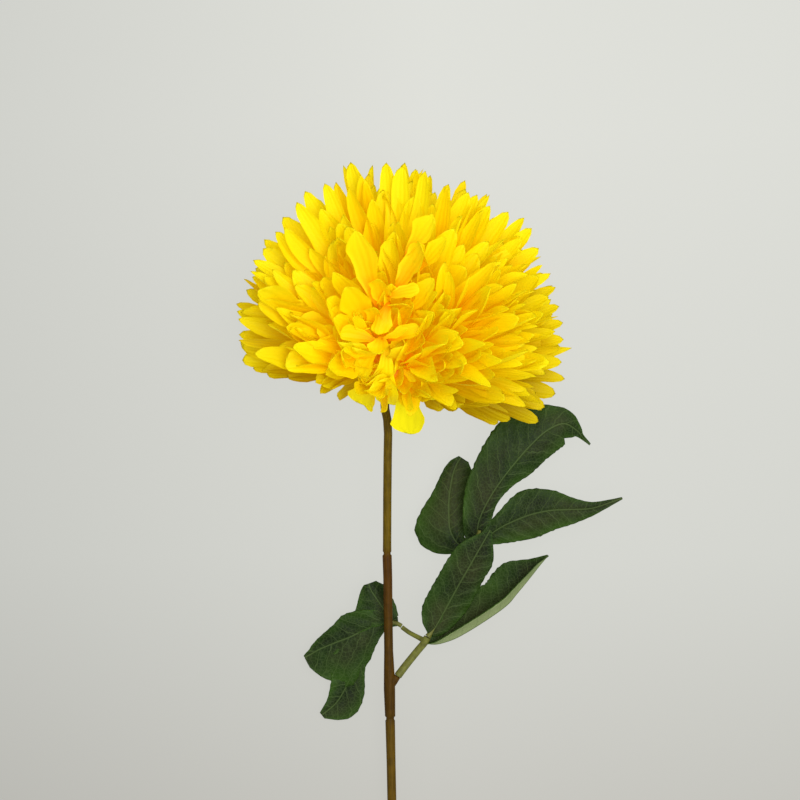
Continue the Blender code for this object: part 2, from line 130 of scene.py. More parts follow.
# The pieces of the bloom, each with the least and the most that its florets have opened
FLORET_PIECES = (("florets_whorl", -1, 0.35), ("florets_inner", 0.35, 0.8), ("florets_outer", 0.8, 2))
# Florets that catch the eye: root and tip, then width, bend, cup, twist, point and tone
PLACED_FLORETS = (
    # The whorl itself: one floret arches over the middle and the others close round it
    ((2, 27, 71), (-3, 11.8, 73), 9.2, -1.3, -0.5, 0.3, 0.2, -0.1),
    ((0, 10, 60), (13.2, 25.8, 78), 9, 0.5, 0.5, 0.1, 0.1, 0.2),
    ((0.6, 28.5, 74), (15.2, 31.6, 78), 7.6, -0.7, 0.2, 0.1, 0.4, 0.4),
    ((-2.5, 9.6, 72), (10.3, 14.1, 80), 4.8, 0.4, 0.5, 0.1, 0.8, 0.8),
    ((0, 8.6, 67), (15.9, 13.4, 74), 7.4, -0.6, 0.8, -0.3, 0.4, 0.2),
    ((-3, 8.4, 68), (-20.6, 11.6, 71), 7.4, -0.6, 0.9, 0.4, 0.5, 0.1),
    ((-2.4, 12, 68), (-2.9, 2.6, 75), 10.6, 0.8, 0.5, 0.1, 0.0, 0.7),
    ((-4, 9, 58), (-18.4, 33.6, 79), 13, 0.6, 0.6, 0.1, 0.1, 0.6),
    ((-5, 10, 60), (-4.6, 24.4, 77), 10, 0.6, 0.5, -0.2, 0.2, 0.4),
    ((-5, 11, 64), (-15, 19.5, 78), 5.4, 0.8, 0.5, 0.2, 0.5, 0.8),
    ((2, 9, 58), (22, 20.5, 79), 9.4, 0.3, 0.4, -0.2, 0.3, 0.8),
    ((2, 6, 58), (18.5, 8.5, 74), 13, 0.7, 0.7, 0.1, 0.1, 0.3),
    ((3, 14, 60), (24, 30, 81), 8, 0.4, 0.5, 0.3, 0.3, 0.9),
    ((3, 16, 62), (22.5, 36.5, 82), 8, 0.3, 0.4, -0.3, 0.3, 0.8),
    ((3, 12, 60), (27, 24, 79), 8.4, 0.6, 0.6, 0.2, 0.2, 0.6),
    ((-6, 8, 60), (-24, 19, 74), 10, 0.5, 0.5, 0.1, 0.2, 0.6),
    ((-5, 8, 58), (-27, 28, 74), 11, 0.5, 0.5, -0.2, 0.3, 0.7),
    ((-3, 8, 60), (-19, 4, 70), 10, 0.4, 0.4, 0.2, 0.2, 0.4),
    ((0, 22, 64), (-3, 37, 80), 11, 0.5, 0.5, 0.1, 0.2, 0.3),
    # In front of the whorl: broad ones that fall over the stem. Their high tones keep them lemon, partly
    # their own colour, partly painted light that lifts the shade they lie in under the whorl
    ((1, 8, 64), (1.5, -18.6, 49), 13, -1.0, 0.2, -0.2, 0.1, 1.9),
    ((-2, 8, 64), (-12.5, -6.5, 56), 12.4, -0.8, 0.3, 0.2, 0.2, 1.2),
    ((-1, -6, 50), (-9.5, -19.8, 38), 13.4, -0.6, 0.5, 0.3, 0.1, 1.2),
    ((8, -1, 56), (13, -17.4, 44), 12.4, 0.4, 0.6, 0.1, 0.1, 1.1),
    ((7, -3, 57), (13.6, -9, 55), 4.4, 0.5, 0.5, 0.2, 0.2, 1.4),
    ((12.2, -7, 48), (11.6, -32.6, 33), 16, -0.7, 0.25, 0.1, 1.0, 2.2),
    ((13, 1, 63), (23.5, -16.2, 48), 8.6, -0.7, 0.3, -0.2, 0.3, 1.8),
    ((12, 4, 65), (28.9, -3, 60), 8.4, -0.5, 0.2, 0.2, 0.4, 1.2),
    ((22, 2.5, 60), (34, -14.6, 46), 13, 0.7, 0.75, 0.2, 0.1, 0.8),
    ((19, 4, 58), (37, 8, 68), 12.5, 0.8, 0.6, 0.1, 0.2, 0.0),
    ((-10, 4, 61), (-25, -3, 58), 10, -0.4, 0.3, 0.2, 0.2, 0.5),
    ((-12, 13, 62), (-26, 22, 73), 10.5, 0.5, 0.6, -0.1, 0.2, 0.7),
    # Behind the whorl: broad upright ones
    ((-3.5, 22, 66), (-13.3, 58.5, 84), 13, 0.25, 0.4, 0.25, 0.7, 0.5),
    ((3, 30, 71), (18, 51.5, 84), 12.5, 0.3, 0.5, 0.2, 0.5, 0.4),
    ((12, 38, 74), (27.6, 54.3, 84), 8.4, 0.2, 0.4, 0.1, 0.5, 0.9),
    ((7.8, 46, 76), (21.6, 63.9, 86), 10, 0.2, 0.4, -0.2, 0.5, 0.8),
    ((24, 12, 64), (29, 40, 81), 10, 0.3, 0.4, 0.2, 0.3, 0.9),
)
# Tips that stand out round the bloom, each with the width and bend of its floret
OUTLINE_FLORETS = (
    ((0.9, 90.2, 60), 9, 0.1), ((8.3, 88.3, 62), 9, -0.1), ((14.3, 87.8, 46), 9, 0.1),
    ((18.9, 86, 68), 8.5, 0.2), ((29.4, 80.5, 52), 9, 0.1), ((38.4, 76.4, 60), 9, 0.1),
    ((47.8, 75, 52), 6, -0.3), ((56.6, 67.6, 50), 9.5, 0.1), ((63.9, 65, 46), 9, 0.1),
    ((62.8, 55.5, 56), 9, 0.2), ((68.6, 48, 44), 9, 0.1), ((73.6, 39.2, 40), 9.5, 0.1),
    ((74.6, 28.5, 52), 9, 0.1), ((76.6, 21, 36), 9, 0.1), ((77.5, 13, 48), 9, 0.1),
    ((80.8, 5.5, 38), 8.5, 0.1), ((80.3, -1, 46), 8.5, 0.1), ((81.6, -8.5, 36), 7.5, -0.2),
    ((77.3, -15.2, 34), 9, -0.2), ((72.2, -21.2, 40), 8.5, -0.2), ((69.5, -27.6, 30), 8.5, -0.3),
    ((56.6, -26.6, 34), 8, -0.3), ((-15.6, 91, 50), 9.5, 0.15), ((-27.6, 81, 56), 9, 0.1),
    ((-36.8, 77.8, 48), 9.5, 0.1), ((-40.5, 72.4, 58), 9, 0.1), ((-47.2, 66, 44), 10, 0.1),
    ((-50.4, 58.9, 54), 9.5, 0.1), ((-56.4, 51.5, 42), 9.5, 0.1), ((-61.3, 38.4, 46), 9.5, 0.1),
    ((-64.3, 32.6, 34), 9, 0.1), ((-68.3, 22.5, 42), 9, 0.1), ((-67.4, 11.8, 40), 9, 0.2),
    ((-65.8, 0.2, 30), 9, -0.1), ((-54.4, -6, 30), 9, -0.1), ((-45, -7.4, 34), 9, -0.1),
    ((-29.4, -13.8, 30), 5.5, -0.9), ((-21.2, -17, 28), 5.5, -1.1), ((26.4, -21.2, 34), 10, -0.4),
    ((33, -20.9, 34), 10, -0.3), ((40.4, -21.1, 34), 10, -0.2), ((48, -23.4, 34), 9, -0.2),
    ((51, -28.2, 32), 8, -0.3), ((42.4, 75.4, 56), 8, 0.1), ((67.2, 60, 50), 8.5, 0.1),
    ((70.4, 51, 46), 8.5, 0.1), ((78, 33.2, 42), 8.5, 0.1), ((79.4, 24.4, 46), 8.5, 0.1),
    ((81.2, 17, 42), 8.5, 0.1), ((81.4, 9.4, 42), 8.5, 0.1), ((-66, 6.4, 34), 9, 0.1),
    ((-60.8, -3.6, 30), 9, -0.1),
)
OUTLINE_CUP = 0.45
PLACED_TRAITS = {"roll": 0, "curl": 0.03, "ruffle": 0.2, "landing": 0.5 * MM, "sweep": 0}
PLACED_OPENING = 0.2
FACES_ACROSS = 8
FLORET_FACES_ALONG = 10
BRACT_FACES_ALONG = 7
SOFT_LANDING = 4 * MM
# Blades: rows lie closer towards the tip, edges wave out and in and up and down, and the tip curls
TIP_CROWDING = 1.6
EDGE_OFFSET = 1.1
EDGE_WAVES = 15
EDGE_SHARE = 0.13
RUFFLE_WAVES = 8.5
CURL_START = 0.55
LEAST_BEND = 0.02
RIM_SHARE = 0.99
# The traits of a blade that its plan gives, apart from its place, size and bend
SHAPE_TRAITS = ("cup", "curl", "twist", "ruffle", "phase", "pointed", "landing", "sweep")
FLORET_OUTLINE = (
    (0, 0), (0.05, 0.2), (0.3, 0.52), (0.55, 0.88), (0.75, 1), (0.89, 0.88), (0.97, 0.54), (1, 0),
)
POINTED_OUTLINE = (
    (0, 0), (0.05, 0.2), (0.3, 0.5), (0.55, 0.92), (0.7, 1), (0.86, 0.72), (0.95, 0.36), (1, 0),
)

# Receptacle and calyx: (distance from the dome's axis, height along it), from the heart
TURNED_SIDES = 32
RECEPTACLE_SECTION = ((0, -9), (10, -9), (14, -6.5), (16, -1), (14.5, 6), (10, 11), (5, 13.6), (0, 14.4))
CALYX_SECTION = ((0, -9.3), (9.6, -9.3), (10.4, -10.6), (9.2, -14), (6.2, -17.2), (3.4, -19.4), (0, -19.4))

# Bracts, in rows down the cup: each row opens wider, in degrees, and is shorter than the one before. Their
# roots lie behind the heart and off the dome's axis, in millimetres
BRACT_SEED = 5
BRACT_TRAITS = {
    "roll": 0, "bend": 0.25, "cup": 0.25, "curl": 0, "ruffle": 0.05, "pointed": 1, "landing": 0.4 * MM,
    "sweep": 0,
}
BRACT_OPENING = 60
BRACT_OPENING_STEP = 4
BRACT_OPENING_STRAY = 5
BRACT_PLACE_STRAY = 0.15
BRACT_TWIST = 0.2
BRACT_SHORTENING = 0.2
BRACT_DEPTH = 14.2
BRACT_DEPTH_STEP = 1.2
BRACT_ROOT_RADIUS = 5

# Stem: middle line and radius, from under the calyx to the plain cut end
STEM = (
    (-0.19, -16.69, 29.13, 2.1), (-0.56, -18.38, 28.13, 2.05), (-0.4, -21.5, 26.7, 2.0),
    (0.6, -26.5, 25.3, 1.95), (1, -33, 24.2, 1.95), (0.8, -43, 22.8, 1.95),
    (0.6, -62, 20.6, 1.95), (0.5, -84, 18.4, 1.95), (0.5, -87.6, 18, 2.0), (0.5, -88.2, 18, 1.65),
    (0.5, -89, 17.9, 1.65), (0.5, -89.6, 17.8, 2.15), (0.8, -100, 16.9, 2.1), (1, -118, 15.3, 2.05),
    (1.2, -134, 13.9, 2.1), (1.4, -142, 13.2, 2.4), (1.6, -152, 12.3, 2.65), (1.9, -164.6, 11.2, 2.4),
    (1.9, -165.3, 11.1, 1.85), (1.9, -166.1, 11.1, 1.85), (1.9, -166.8, 11, 2.25),
    (2.3, -185, 9.4, 2.1), (2.9, -215, 6.8, 2.1), (3.5, -245, 4.4, 2.1), (4, -274.9, 2.1, 2.15),
)
PEG = ((1.4, -151, 12.4, 2.1), (3.2, -148.4, 12.6, 2.1), (4.9, -145.8, 12.7, 1.95))
STALK = (
    (5.4, -145.8, 12.7, 1.85), (9, -141, 12.9, 1.8), (14.6, -134, 13.8, 1.75),
    (17.5, -130.5, 14.6, 1.75), (19.13, -127.68, 15.2, 1.75),
)
STALK_ARM = (
    (17.6, -129.2, 14.7, 1.4), (15.2, -128, 13.2, 1.15), (10.8, -125.8, 10.9, 1.05),
    (7.4, -123.4, 9.7, 1.05),
)
LOWER_PETIOLE = (
    (19.36, -127.4, 15.1, 1.5), (20.8, -125.6, 15.2, 1.2), (22.6, -123, 15.8, 0.9), (25, -119.8, 16.9, 0.6),
)
UPPER_PETIOLE = (
    (19.6, -128.6, 12.2, 1.0), (24.5, -122.5, 9.8, 1.0), (31, -110, 9.4, 1.0),
    (37.5, -95, 11.2, 1.05), (41.6, -84.6, 13.4, 1.1), (43.4, -78, 14.6, 0.8),
)
LEFT_PETIOLE = ((7.2, -122.8, 9.6, 1.0), (4.3, -121.4, 9.3, 1.0), (-0.5, -121, 9.3, 0.8))
STALK_RIBS = 5
RIB_GRAIN = 0.02

# Leaf blades: waves in radians a millimetre, heights and widths in millimetres, and teeth as a share of the
# reach. A lobe's relief fades out over its last rows
LOBE_CURVE = 1.6
LOBE_COLUMNS = 26
LOBE_STEPS = 7
LOBE_FADING_ROWS = 6
TOOTH_SIZE = 0.022
TOOTH_WAVES = 1.7
QUILT_HEIGHT = 0.2
QUILT_START = 4
MIDRIB_DEPTH = 0.5
MIDRIB_WIDTH = 0.8
RIPPLE_HEIGHT = 0.45
RIPPLE_WAVES = 0.42
# Side veins run forwards and bend on, in the relief and in the colour alike
VEIN_SLOPE = 0.85
VEIN_CURVE = 0.012
# Leaf lobes: x, y and z of the midrib, reach to its left and right, and how far each edge rises
LEFT_LEAF = (
    (
        (5.6, -120.6, 9.4, 2, 2, 0, 0), (-1.4, -121.4, 9.4, 3.8, 6, -0.5, 0.6),
        (-9.2, -124.2, 9.2, 9.8, 9.5, -1.5, 1.2), (-16.6, -127.9, 8.6, 16, 10.6, -3, 0.5),
        (-23.5, -130.6, 7.8, 21.4, 7.3, -3.5, -0.8), (-31, -133.8, 6.8, 19.1, 4.3, -2.5, -1.4),
        (-34.8, -136, 6.1, 13.9, 2.4, -1.4, -0.7), (-38.2, -137.8, 5.4, 5.4, 0.9, 0, 0),
    ),
    (
        (2.8, -120.2, 9.6, 2.6, 3.6, 0, 0.6), (-0.9, -115.4, 10, 15, 6, -1.8, -1.6),
        (-4.1, -110.6, 10.4, 13.6, 6, -1.6, -2.4), (-6.9, -106.4, 10.6, 6.6, 6.2, -1.4, -3.2),
        (-8.2, -103, 10.2, 2.2, 3.6, -0.6, -1.6),
    ),
    (
        (-4.2, -124.2, 8.8, 1.5, 2.5, 0, 0), (-9.6, -133, 7.4, 1.6, 9, 0, 0.5),
        (-14.4, -143, 5.6, 4.9, 12.5, -0.8, 0.9), (-18.8, -151.8, 4.2, 9.4, 7.8, -1.6, 0.8),
        (-23.6, -159.4, 3.1, 9.8, 4.8, -1.4, 0.8), (-30.2, -165, 2.4, 2, 1.4, -0.2, 0.2),
    ),
)
LOWER_LEAF = (
    (
        (20.6, -126.4, 15.9, 1.6, 1.4, 0, 0), (22.2, -124, 16.7, 6.1, 4.4, 0.8, -0.5),
        (25.3, -118.7, 18, 9.9, 7, 1.5, -1), (29.4, -110.9, 20.4, 10.7, 9, 2, -1.5),
        (33.6, -103, 23, 10.4, 9, 1.5, -1.8), (37.7, -95.7, 25.6, 10.4, 8.8, 0.8, -1.8),
        (42.3, -87.4, 28.2, 8.7, 8.2, 0, -1.6),
        (48, -77.3, 30, 0.7, 0.7, 0, 0),
    ),
    (
        (17.8, -130.5, 14.8, 1.2, 0.6, 0.4, 0.4), (22.6, -131, 14.6, 5.4, -1.2, 1.4, 2.4),
        (27.4, -130, 14.8, 9.4, -2.6, 2.4, 4.4), (33.8, -127.4, 15.4, 14, -3.8, 3, 6.4),
        (44.8, -120.7, 17, 15.2, -4, 3, 7.4), (55.6, -112.9, 19, 14.2, -3.8, 2.4, 7.4),
        (60.5, -107.2, 20.4, 14.7, -3.2, 1.8, 6.4),
        (65.9, -100.5, 22.2, 13.2, -2.4, 1, 4.8), (71, -93.8, 24.4, 5, -1.4, 0.4, 2.2),
        (74.7, -89.2, 26.4, 0.5, 0.5, 0, 0),
    ),
)
UPPER_LEAF = (
    (
        (40.5, -86.6, 13, 1.2, 2.5, -0.3, 0), (34.6, -85, 12.2, 4.4, 4, -1, 0),
        (31.6, -82, 11.6, 12, 6, -2.4, -0.3), (29.6, -77, 11.2, 16.1, 8.5, -3.6, -0.8),
        (29.2, -69.5, 10.8, 13.1, 10, -3, -1.6), (29.4, -62, 10.6, 8.2, 9.6, -2, -2),
        (30.8, -53.4, 10, 5.3, 10.4, -1.4, -2), (32.6, -48, 9.4, 3.6, 9.6, -1, -1.4),
        (34.9, -44.2, 8.8, 1.2, 4.2, 0, 0),
    ),
    (
        (41.6, -84, 13.8, 4.5, 1.5, 0, 0), (43.2, -73.6, 15, 8, 5.2, 0.6, -1.2),
        (47.8, -63.5, 16.6, 12.4, 4.3, 1.2, -1.2), (53.8, -54.3, 18, 15.1, 5.7, 1, -2),
        (60.3, -46, 19, 17.2, 8.9, 0.4, -3.2), (67.2, -38.2, 19.4, 17.6, 9.8, -1, -3.6),
        (74.6, -31.6, 19, 14, 10.4, -2, -3.4), (82.4, -28.4, 17.6, 7.2, 8.8, -1.6, -2.4),
        (88.6, -31.6, 15.2, 2.6, 4.2, -0.4, -0.8), (91, -34.4, 14.2, 0.9, 1.2, 0, 0),
        (94.8, -38.2, 13.4, 0.5, 0.5, 0, 0),
    ),
    (
        (42.2, -84, 13.6, 1.5, 1.5, 0, 0), (48.8, -79.6, 14, 4, 5.9, 0.2, -1),
        (55.7, -75.4, 14.6, 7.1, 9, 0.4, -1.8), (66.2, -71, 15.8, 11.8, 11, 0, -2.4),
        (76.4, -68.7, 17, 9.8, 9.4, -0.6, -2.2), (86.9, -68.2, 18, 5.4, 6.7, -0.6, -1.4),
        (96.1, -67.5, 18.6, 2.8, 3.2, -0.2, -0.4), (109.4, -62.9, 19.6, 0.5, 0.5, 0, 0),
    ),
)

# Patterns, by how many of their cells lie in a metre, each with the size of a cell
PETAL_MOTTLE = 130  # 7.7 mm
PITH_GRAIN = 400  # 2.5 mm
BRACT_FELT = 900  # 1.1 mm
STEM_FIBRE = 1500  # 0.7 mm
STEM_FLECK = 260  # 3.8 mm
SHOOT_FLECK = 420  # 2.4 mm
VEIN_WANDER = 160  # 6.2 mm
LEAF_NET = 620  # 1.6 mm
LEAF_PATCH = 55  # 18 mm
LEAF_SHEEN_PATCH = 38  # 26 mm
# Fine veins of a petal: radians from its middle line to its edge
PETAL_VEINS = 13

# Stage, in metres but for the picture's pixels and the sensor's millimetres
PICTURE_WIDTH = 800
SENSOR_WIDTH = 36
AIM_PIXELS = (14, -38)
FLOWER_MIDDLE = 0.03
SURFACE_HALF = 3
SURFACE_FADE = 0.2
SOFTBOX_PLACE = (0.32, 0.12, 1.25)
SOFTBOX_SIZE = (1.2, 0.9)


def linear(code):
    """The linear colour of an sRGB hex value such as FFCC00."""
    parts = [int(code[start:start + 2], 16) / 255 for start in (0, 2, 4)]
    return [part / 12.92 if part <= 0.04045 else ((part + 0.055) / 1.055) ** 2.4 for part in parts]


def mixed(low, high, share):
    """The value that lies share of the way from low to high."""
    return low + (high - low) * share


def smooth(share):
    """Eases a share of 0 to 1 in and out."""
    share = min(1.0, max(0.0, share))
    return share * share * (3 - 2 * share)


def looked_up(pairs, key):
    """Reads a table of (key, value) pairs, in straight lines between the entries."""
    for (start, low), (end, high) in zip(pairs, pairs[1:]):
        if key <= end:
            return mixed(low, high, (key - start) / (end - start))
    return pairs[-1][1]


def flowed(stations, steps):
    """Rows on a smooth line through the stations, a number of steps from each to the next."""
    rows = []
    last = len(stations) - 1
    for number in range(last):
        before = stations[max(number - 1, 0)]
        start = stations[number]
        end = stations[number + 1]
        after = stations[min(number + 2, last)]
        for step in range(steps):
            share = step / steps
            rows.append(tuple(
                0.5 * (2 * b + (c - a) * share + (2 * a - 5 * b + 4 * c - d) * share ** 2
                       + (3 * b - a - 3 * c + d) * share ** 3)
                for a, b, c, d in zip(before, start, end, after)))
    rows.append(tuple(stations[-1]))
    return rows


def across_axis(axis):
    """Two directions at right angles to an axis and to each other."""
    right = (Vector((1, 0, 0)) - axis * axis.x).normalized()
    return right, axis.cross(right)


def stem_shift():
    """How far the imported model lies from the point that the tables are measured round."""
    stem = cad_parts["stem"].data
    lowest = min(vertex.co.y for vertex in stem.vertices)
    end = [vertex.co for vertex in stem.vertices if vertex.co.y < lowest + 0.6 * MM]
    middle = sum(point.x for point in end) / len(end)
    return Vector((middle - CUT_END.x, lowest - CUT_END.y, 0))


SHIFT = stem_shift()


def add(tree, kind, inputs=None, **settings):
    """Adds a node with its settings, its input values and its links; a node stands for its first output."""
    node = tree.nodes.new(kind)
    for name, value in settings.items():
        setattr(node, name, value)
    for key, value in (inputs or {}).items():
        if isinstance(value, bpy.types.Node):
            value = value.outputs[0]
        if isinstance(value, bpy.types.NodeSocket):
            tree.links.new(value, node.inputs[key])
        else:
            node.inputs[key].default_value = value
    return node


def curve_points(node, pairs):
    """Gives a Float Curve node the points of a table."""
    line = node.mapping.curves[0]
    for (x, y), point in zip(pairs, list(line.points)):
        point.location = (x, y)
    for x, y in pairs[len(line.points):]:
        line.points.new(x, y)
    node.mapping.update()


def ramp_stops(node, stops):
    """Gives a Color Ramp node its colours, from (place, linear colour) pairs."""
    ramp = node.color_ramp
    while len(ramp.elements) < len(stops):
        ramp.elements.new(1)
    for element, (place, colour) in zip(ramp.elements, stops):
        element.position = place
        element.color = (*colour, 1)


def new_material(name):
    """An empty node material and its node tree."""
    made = bpy.data.materials.new(name)
    made.use_nodes = True
    made.node_tree.nodes.clear()
    return made, made.node_tree


def mesh_object(name, shape, materials):
    """An object made of a bmesh, which is freed, with smooth faces and its materials."""
    for face in shape.faces:
        face.smooth = True
    mesh = bpy.data.meshes.new(name)
    shape.to_mesh(mesh)
    shape.free()
    made = bpy.data.objects.new(name, mesh)
    bpy.context.scene.collection.objects.link(made)
    for each in materials:
        mesh.materials.append(each)
    return made


def evaluated_mesh(holder):
    """The mesh that an object's modifiers make of it."""
    bpy.context.view_layer.update()
    graph = bpy.context.evaluated_depsgraph_get()
    return bpy.data.meshes.new_from_object(
        holder.evaluated_get(graph), preserve_all_data_layers=True, depsgraph=graph)


def dressed(piece, node):
    """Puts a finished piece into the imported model, in place of the node it stands for."""
    piece.data.transform(Matrix.Translation(SHIFT))
    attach(piece, BODY)
    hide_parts(node)


# The blade's sums, step by step: the name of each result, its operation and its terms, which are numbers or
# earlier results. First a point's place on the flat grid: across from edge to edge, along from root to tip
GRID_STEPS = (
    ("from_middle", "ABSOLUTE", "X"),
    ("across", "MULTIPLY_ADD", "from_middle", -4, 1),
    ("side_sign", "SIGN", "X"),
    ("upper", "MULTIPLY", "side_sign", -1),
    ("left_over", "SUBTRACT", 0.5, "Y"),
    ("crowded", "POWER", "left_over", TIP_CROWDING),
    ("along", "SUBTRACT", 1, "crowded"),
)
SHAPE_STEPS = (
    # Edges: the width swells and shrinks along the blade, not alike on its two sides
    ("half", "MULTIPLY", "outline", "half_width"),
    ("edge_start", "MULTIPLY_ADD", "across", EDGE_OFFSET, "phase"),
    ("edge_angle", "MULTIPLY_ADD", "along", EDGE_WAVES, "edge_start"),
    ("edge_wave", "SINE", "edge_angle"),
    ("uneven", "MULTIPLY_ADD", "edge_wave", EDGE_SHARE, 1),
    ("edged", "MULTIPLY", "half", "uneven"),
    ("reach", "MULTIPLY", "edged", "across"),
    # Twist: the blade turns about its own middle line towards the tip
    ("turn", "MULTIPLY", "twist", "along"),
    ("turn_cos", "COSINE", "turn"),
    ("turn_sin", "SINE", "turn"),
    ("sideways", "MULTIPLY", "reach", "turn_cos"),
    ("twisted", "MULTIPLY", "reach", "turn_sin"),
    # Sweep: the middle line runs off to one side towards the tip
    ("swept_share", "MULTIPLY", "along", "along"),
    ("sweep_size", "MULTIPLY", "sweep", "length"),
    ("swept", "MULTIPLY_ADD", "swept_share", "sweep_size", "sideways"),
    # Cup: both edges rise towards the face that looks inwards
    ("square", "MULTIPLY", "across", "across"),
    ("raised", "MULTIPLY", "square", "cup"),
    ("cupped", "MULTIPLY_ADD", "raised", "half", "twisted"),
    # Ruffle: a slow wave that runs along each edge
    ("wave_angle", "MULTIPLY_ADD", "along", RUFFLE_WAVES, "phase"),
    ("wave", "SINE", "wave_angle"),
    ("wave_height", "MULTIPLY", "wave", "ruffle"),
    ("ruffled", "MULTIPLY_ADD", "wave_height", "reach", "cupped"),
    # Curl: the last part of the blade turns in or out
    ("tip_square", "MULTIPLY", "tip_share", "tip_share"),
    ("curl_size", "MULTIPLY", "curl", "length"),
    ("curled", "MULTIPLY_ADD", "tip_square", "curl_size", "ruffled"),
    # Thickness: a lens across the blade, thin at both edges and gone at the root and the tip
    ("lens", "SUBTRACT", 1, "square"),
    ("filled", "POWER", "outline", 0.5),
    ("body", "MULTIPLY", "lens", "filled"),
    ("skin", "MULTIPLY", "body", "upper"),
    ("half_thick", "MULTIPLY", "Thickness", 0.5),
    ("lift", "MULTIPLY_ADD", "skin", "half_thick", "curled"),
    # Arc: the middle line bends round a circle of the blade's own radius
    ("angle", "MULTIPLY", "bend", "along"),
    ("angle_sin", "SINE", "angle"),
    ("angle_cos", "COSINE", "angle"),
    ("inner", "SUBTRACT", "radius", "lift"),
    ("forward", "MULTIPLY", "inner", "angle_sin"),
    ("dropped", "MULTIPLY", "inner", "angle_cos"),
    ("inward", "SUBTRACT", "radius", "dropped"),
)
# The blade is pressed flat over the last few millimetres above the surface
LANDING_STEPS = (
    ("start", "ADD", "landing", "Surface Softness"),
    ("above", "SUBTRACT", "Z", "start"),
    ("free", "MAXIMUM", "above", 0),
    ("sunk", "MINIMUM", "above", 0),
    ("share", "DIVIDE", "sunk", "Surface Softness"),
    ("eased", "EXPONENT", "share"),
    ("pressed", "MULTIPLY_ADD", "eased", "Surface Softness", "landing"),
    ("height", "ADD", "pressed", "free"),
)


# The node tree's inputs and its output: name, side and kind
BLADE_SOCKETS = (
    ("Blades", "INPUT", "Geometry"), ("Faces Across", "INPUT", "Int"), ("Faces Along", "INPUT", "Int"),
    ("Thickness", "INPUT", "Float"), ("Surface Softness", "INPUT", "Float"),
    ("Finish", "INPUT", "Material"), ("Blades", "OUTPUT", "Geometry"),
)
# The attributes that it reads, by kind
BLADE_ATTRIBUTES = (
    ("FLOAT", ("across", "upper", "along", "radius", "bend", "half_width", "length", *SHAPE_TRAITS)),
    ("FLOAT_VECTOR", ("root", "direction", "side", "inwards")),
)


def numbered(terms, known):
    """The inputs of a step: each term's place and its value, looked up where it is a name."""
    return {place: known.get(term, term) for place, term in enumerate(terms)}


def blade_tree(name):
    """The node tree that turns one point per blade into a closed, cupped and curved petal.

    A blade starts as a grid wound round its own middle: its first half is the upper face and its second
    half the lower one, so both edges, the root and the tip close when doubles are merged.
    """
    tree = bpy.data.node_groups.new(name, "GeometryNodeTree")
    tree.is_modifier = True
    for label, way, kind in BLADE_SOCKETS:
        socket = tree.interface.new_socket(label, in_out=way, socket_type="NodeSocket" + kind)
        if kind == "Float":
            socket.subtype = "DISTANCE"
    given = add(tree, "NodeGroupInput").outputs
    grid = add(tree, "GeometryNodeMeshGrid", {"Size X": 1, "Size Y": 1})
    for way, label in (("X", "Faces Across"), ("Y", "Faces Along")):
        corners = add(tree, "ShaderNodeMath", {0: given[label], 1: 1}, operation="ADD")
        tree.links.new(corners.outputs[0], grid.inputs["Vertices " + way])
    place = add(tree, "ShaderNodeSeparateXYZ", {0: add(tree, "GeometryNodeInputPosition")})
    spots = dict(place.outputs.items())
    for label, operation, *terms in GRID_STEPS:
        spots[label] = add(tree, "ShaderNodeMath", numbered(terms, spots), operation=operation)
    marked = grid
    for label in ("across", "upper", "along"):
        marked = add(tree, "GeometryNodeStoreNamedAttribute", {
            "Geometry": marked, "Name": label, "Value": spots[label]}, data_type="FLOAT")
    spread = add(tree, "GeometryNodeInstanceOnPoints", {"Points": given["Blades"], "Instance": marked})
    realized = add(tree, "GeometryNodeRealizeInstances", {0: spread})
    known = dict(given.items())
    for kind, labels in BLADE_ATTRIBUTES:
        for label in labels:
            known[label] = add(tree, "GeometryNodeInputNamedAttribute", {"Name": label}, data_type=kind)
    # Outline: half the width at a share of the length, between a rounded and a pointed tip
    rounded = add(tree, "ShaderNodeFloatCurve", {"Value": known["along"]})
    curve_points(rounded, FLORET_OUTLINE)
    sharp = add(tree, "ShaderNodeFloatCurve", {"Value": known["along"]})
    curve_points(sharp, POINTED_OUTLINE)
    known["outline"] = add(tree, "ShaderNodeMix", {0: known["pointed"], 2: rounded, 3: sharp})
    known["tip_share"] = add(tree, "ShaderNodeMapRange", {"Value": known["along"], "From Min": CURL_START})
    for label, operation, *terms in SHAPE_STEPS:
        known[label] = add(tree, "ShaderNodeMath", numbered(terms, known), operation=operation)
    spot = known["root"]
    for axis, amount in (("direction", "forward"), ("inwards", "inward"), ("side", "swept")):
        step = add(tree, "ShaderNodeVectorMath", {0: known[axis], 3: known[amount]}, operation="SCALE")
        spot = add(tree, "ShaderNodeVectorMath", {0: spot, 1: step})
    parts = add(tree, "ShaderNodeSeparateXYZ", {0: spot}).outputs
    known["Z"] = parts["Z"]
    for label, operation, *terms in LANDING_STEPS:
        known[label] = add(tree, "ShaderNodeMath", numbered(terms, known), operation=operation)
    rested = add(tree, "ShaderNodeCombineXYZ", {"X": parts["X"], "Y": parts["Y"], "Z": known["height"]})
    shaped = add(tree, "GeometryNodeSetPosition", {0: realized, "Position": rested})
    closed = add(tree, "GeometryNodeMergeByDistance", {"Geometry": shaped, "Distance": 0.00001})
    softened = add(tree, "GeometryNodeSetShadeSmooth", {"Geometry": closed})
    coated = add(tree, "GeometryNodeSetMaterial", {"Geometry": softened, "Material": given["Finish"]})
    add(tree, "NodeGroupOutput", {0: coated})
    return tree


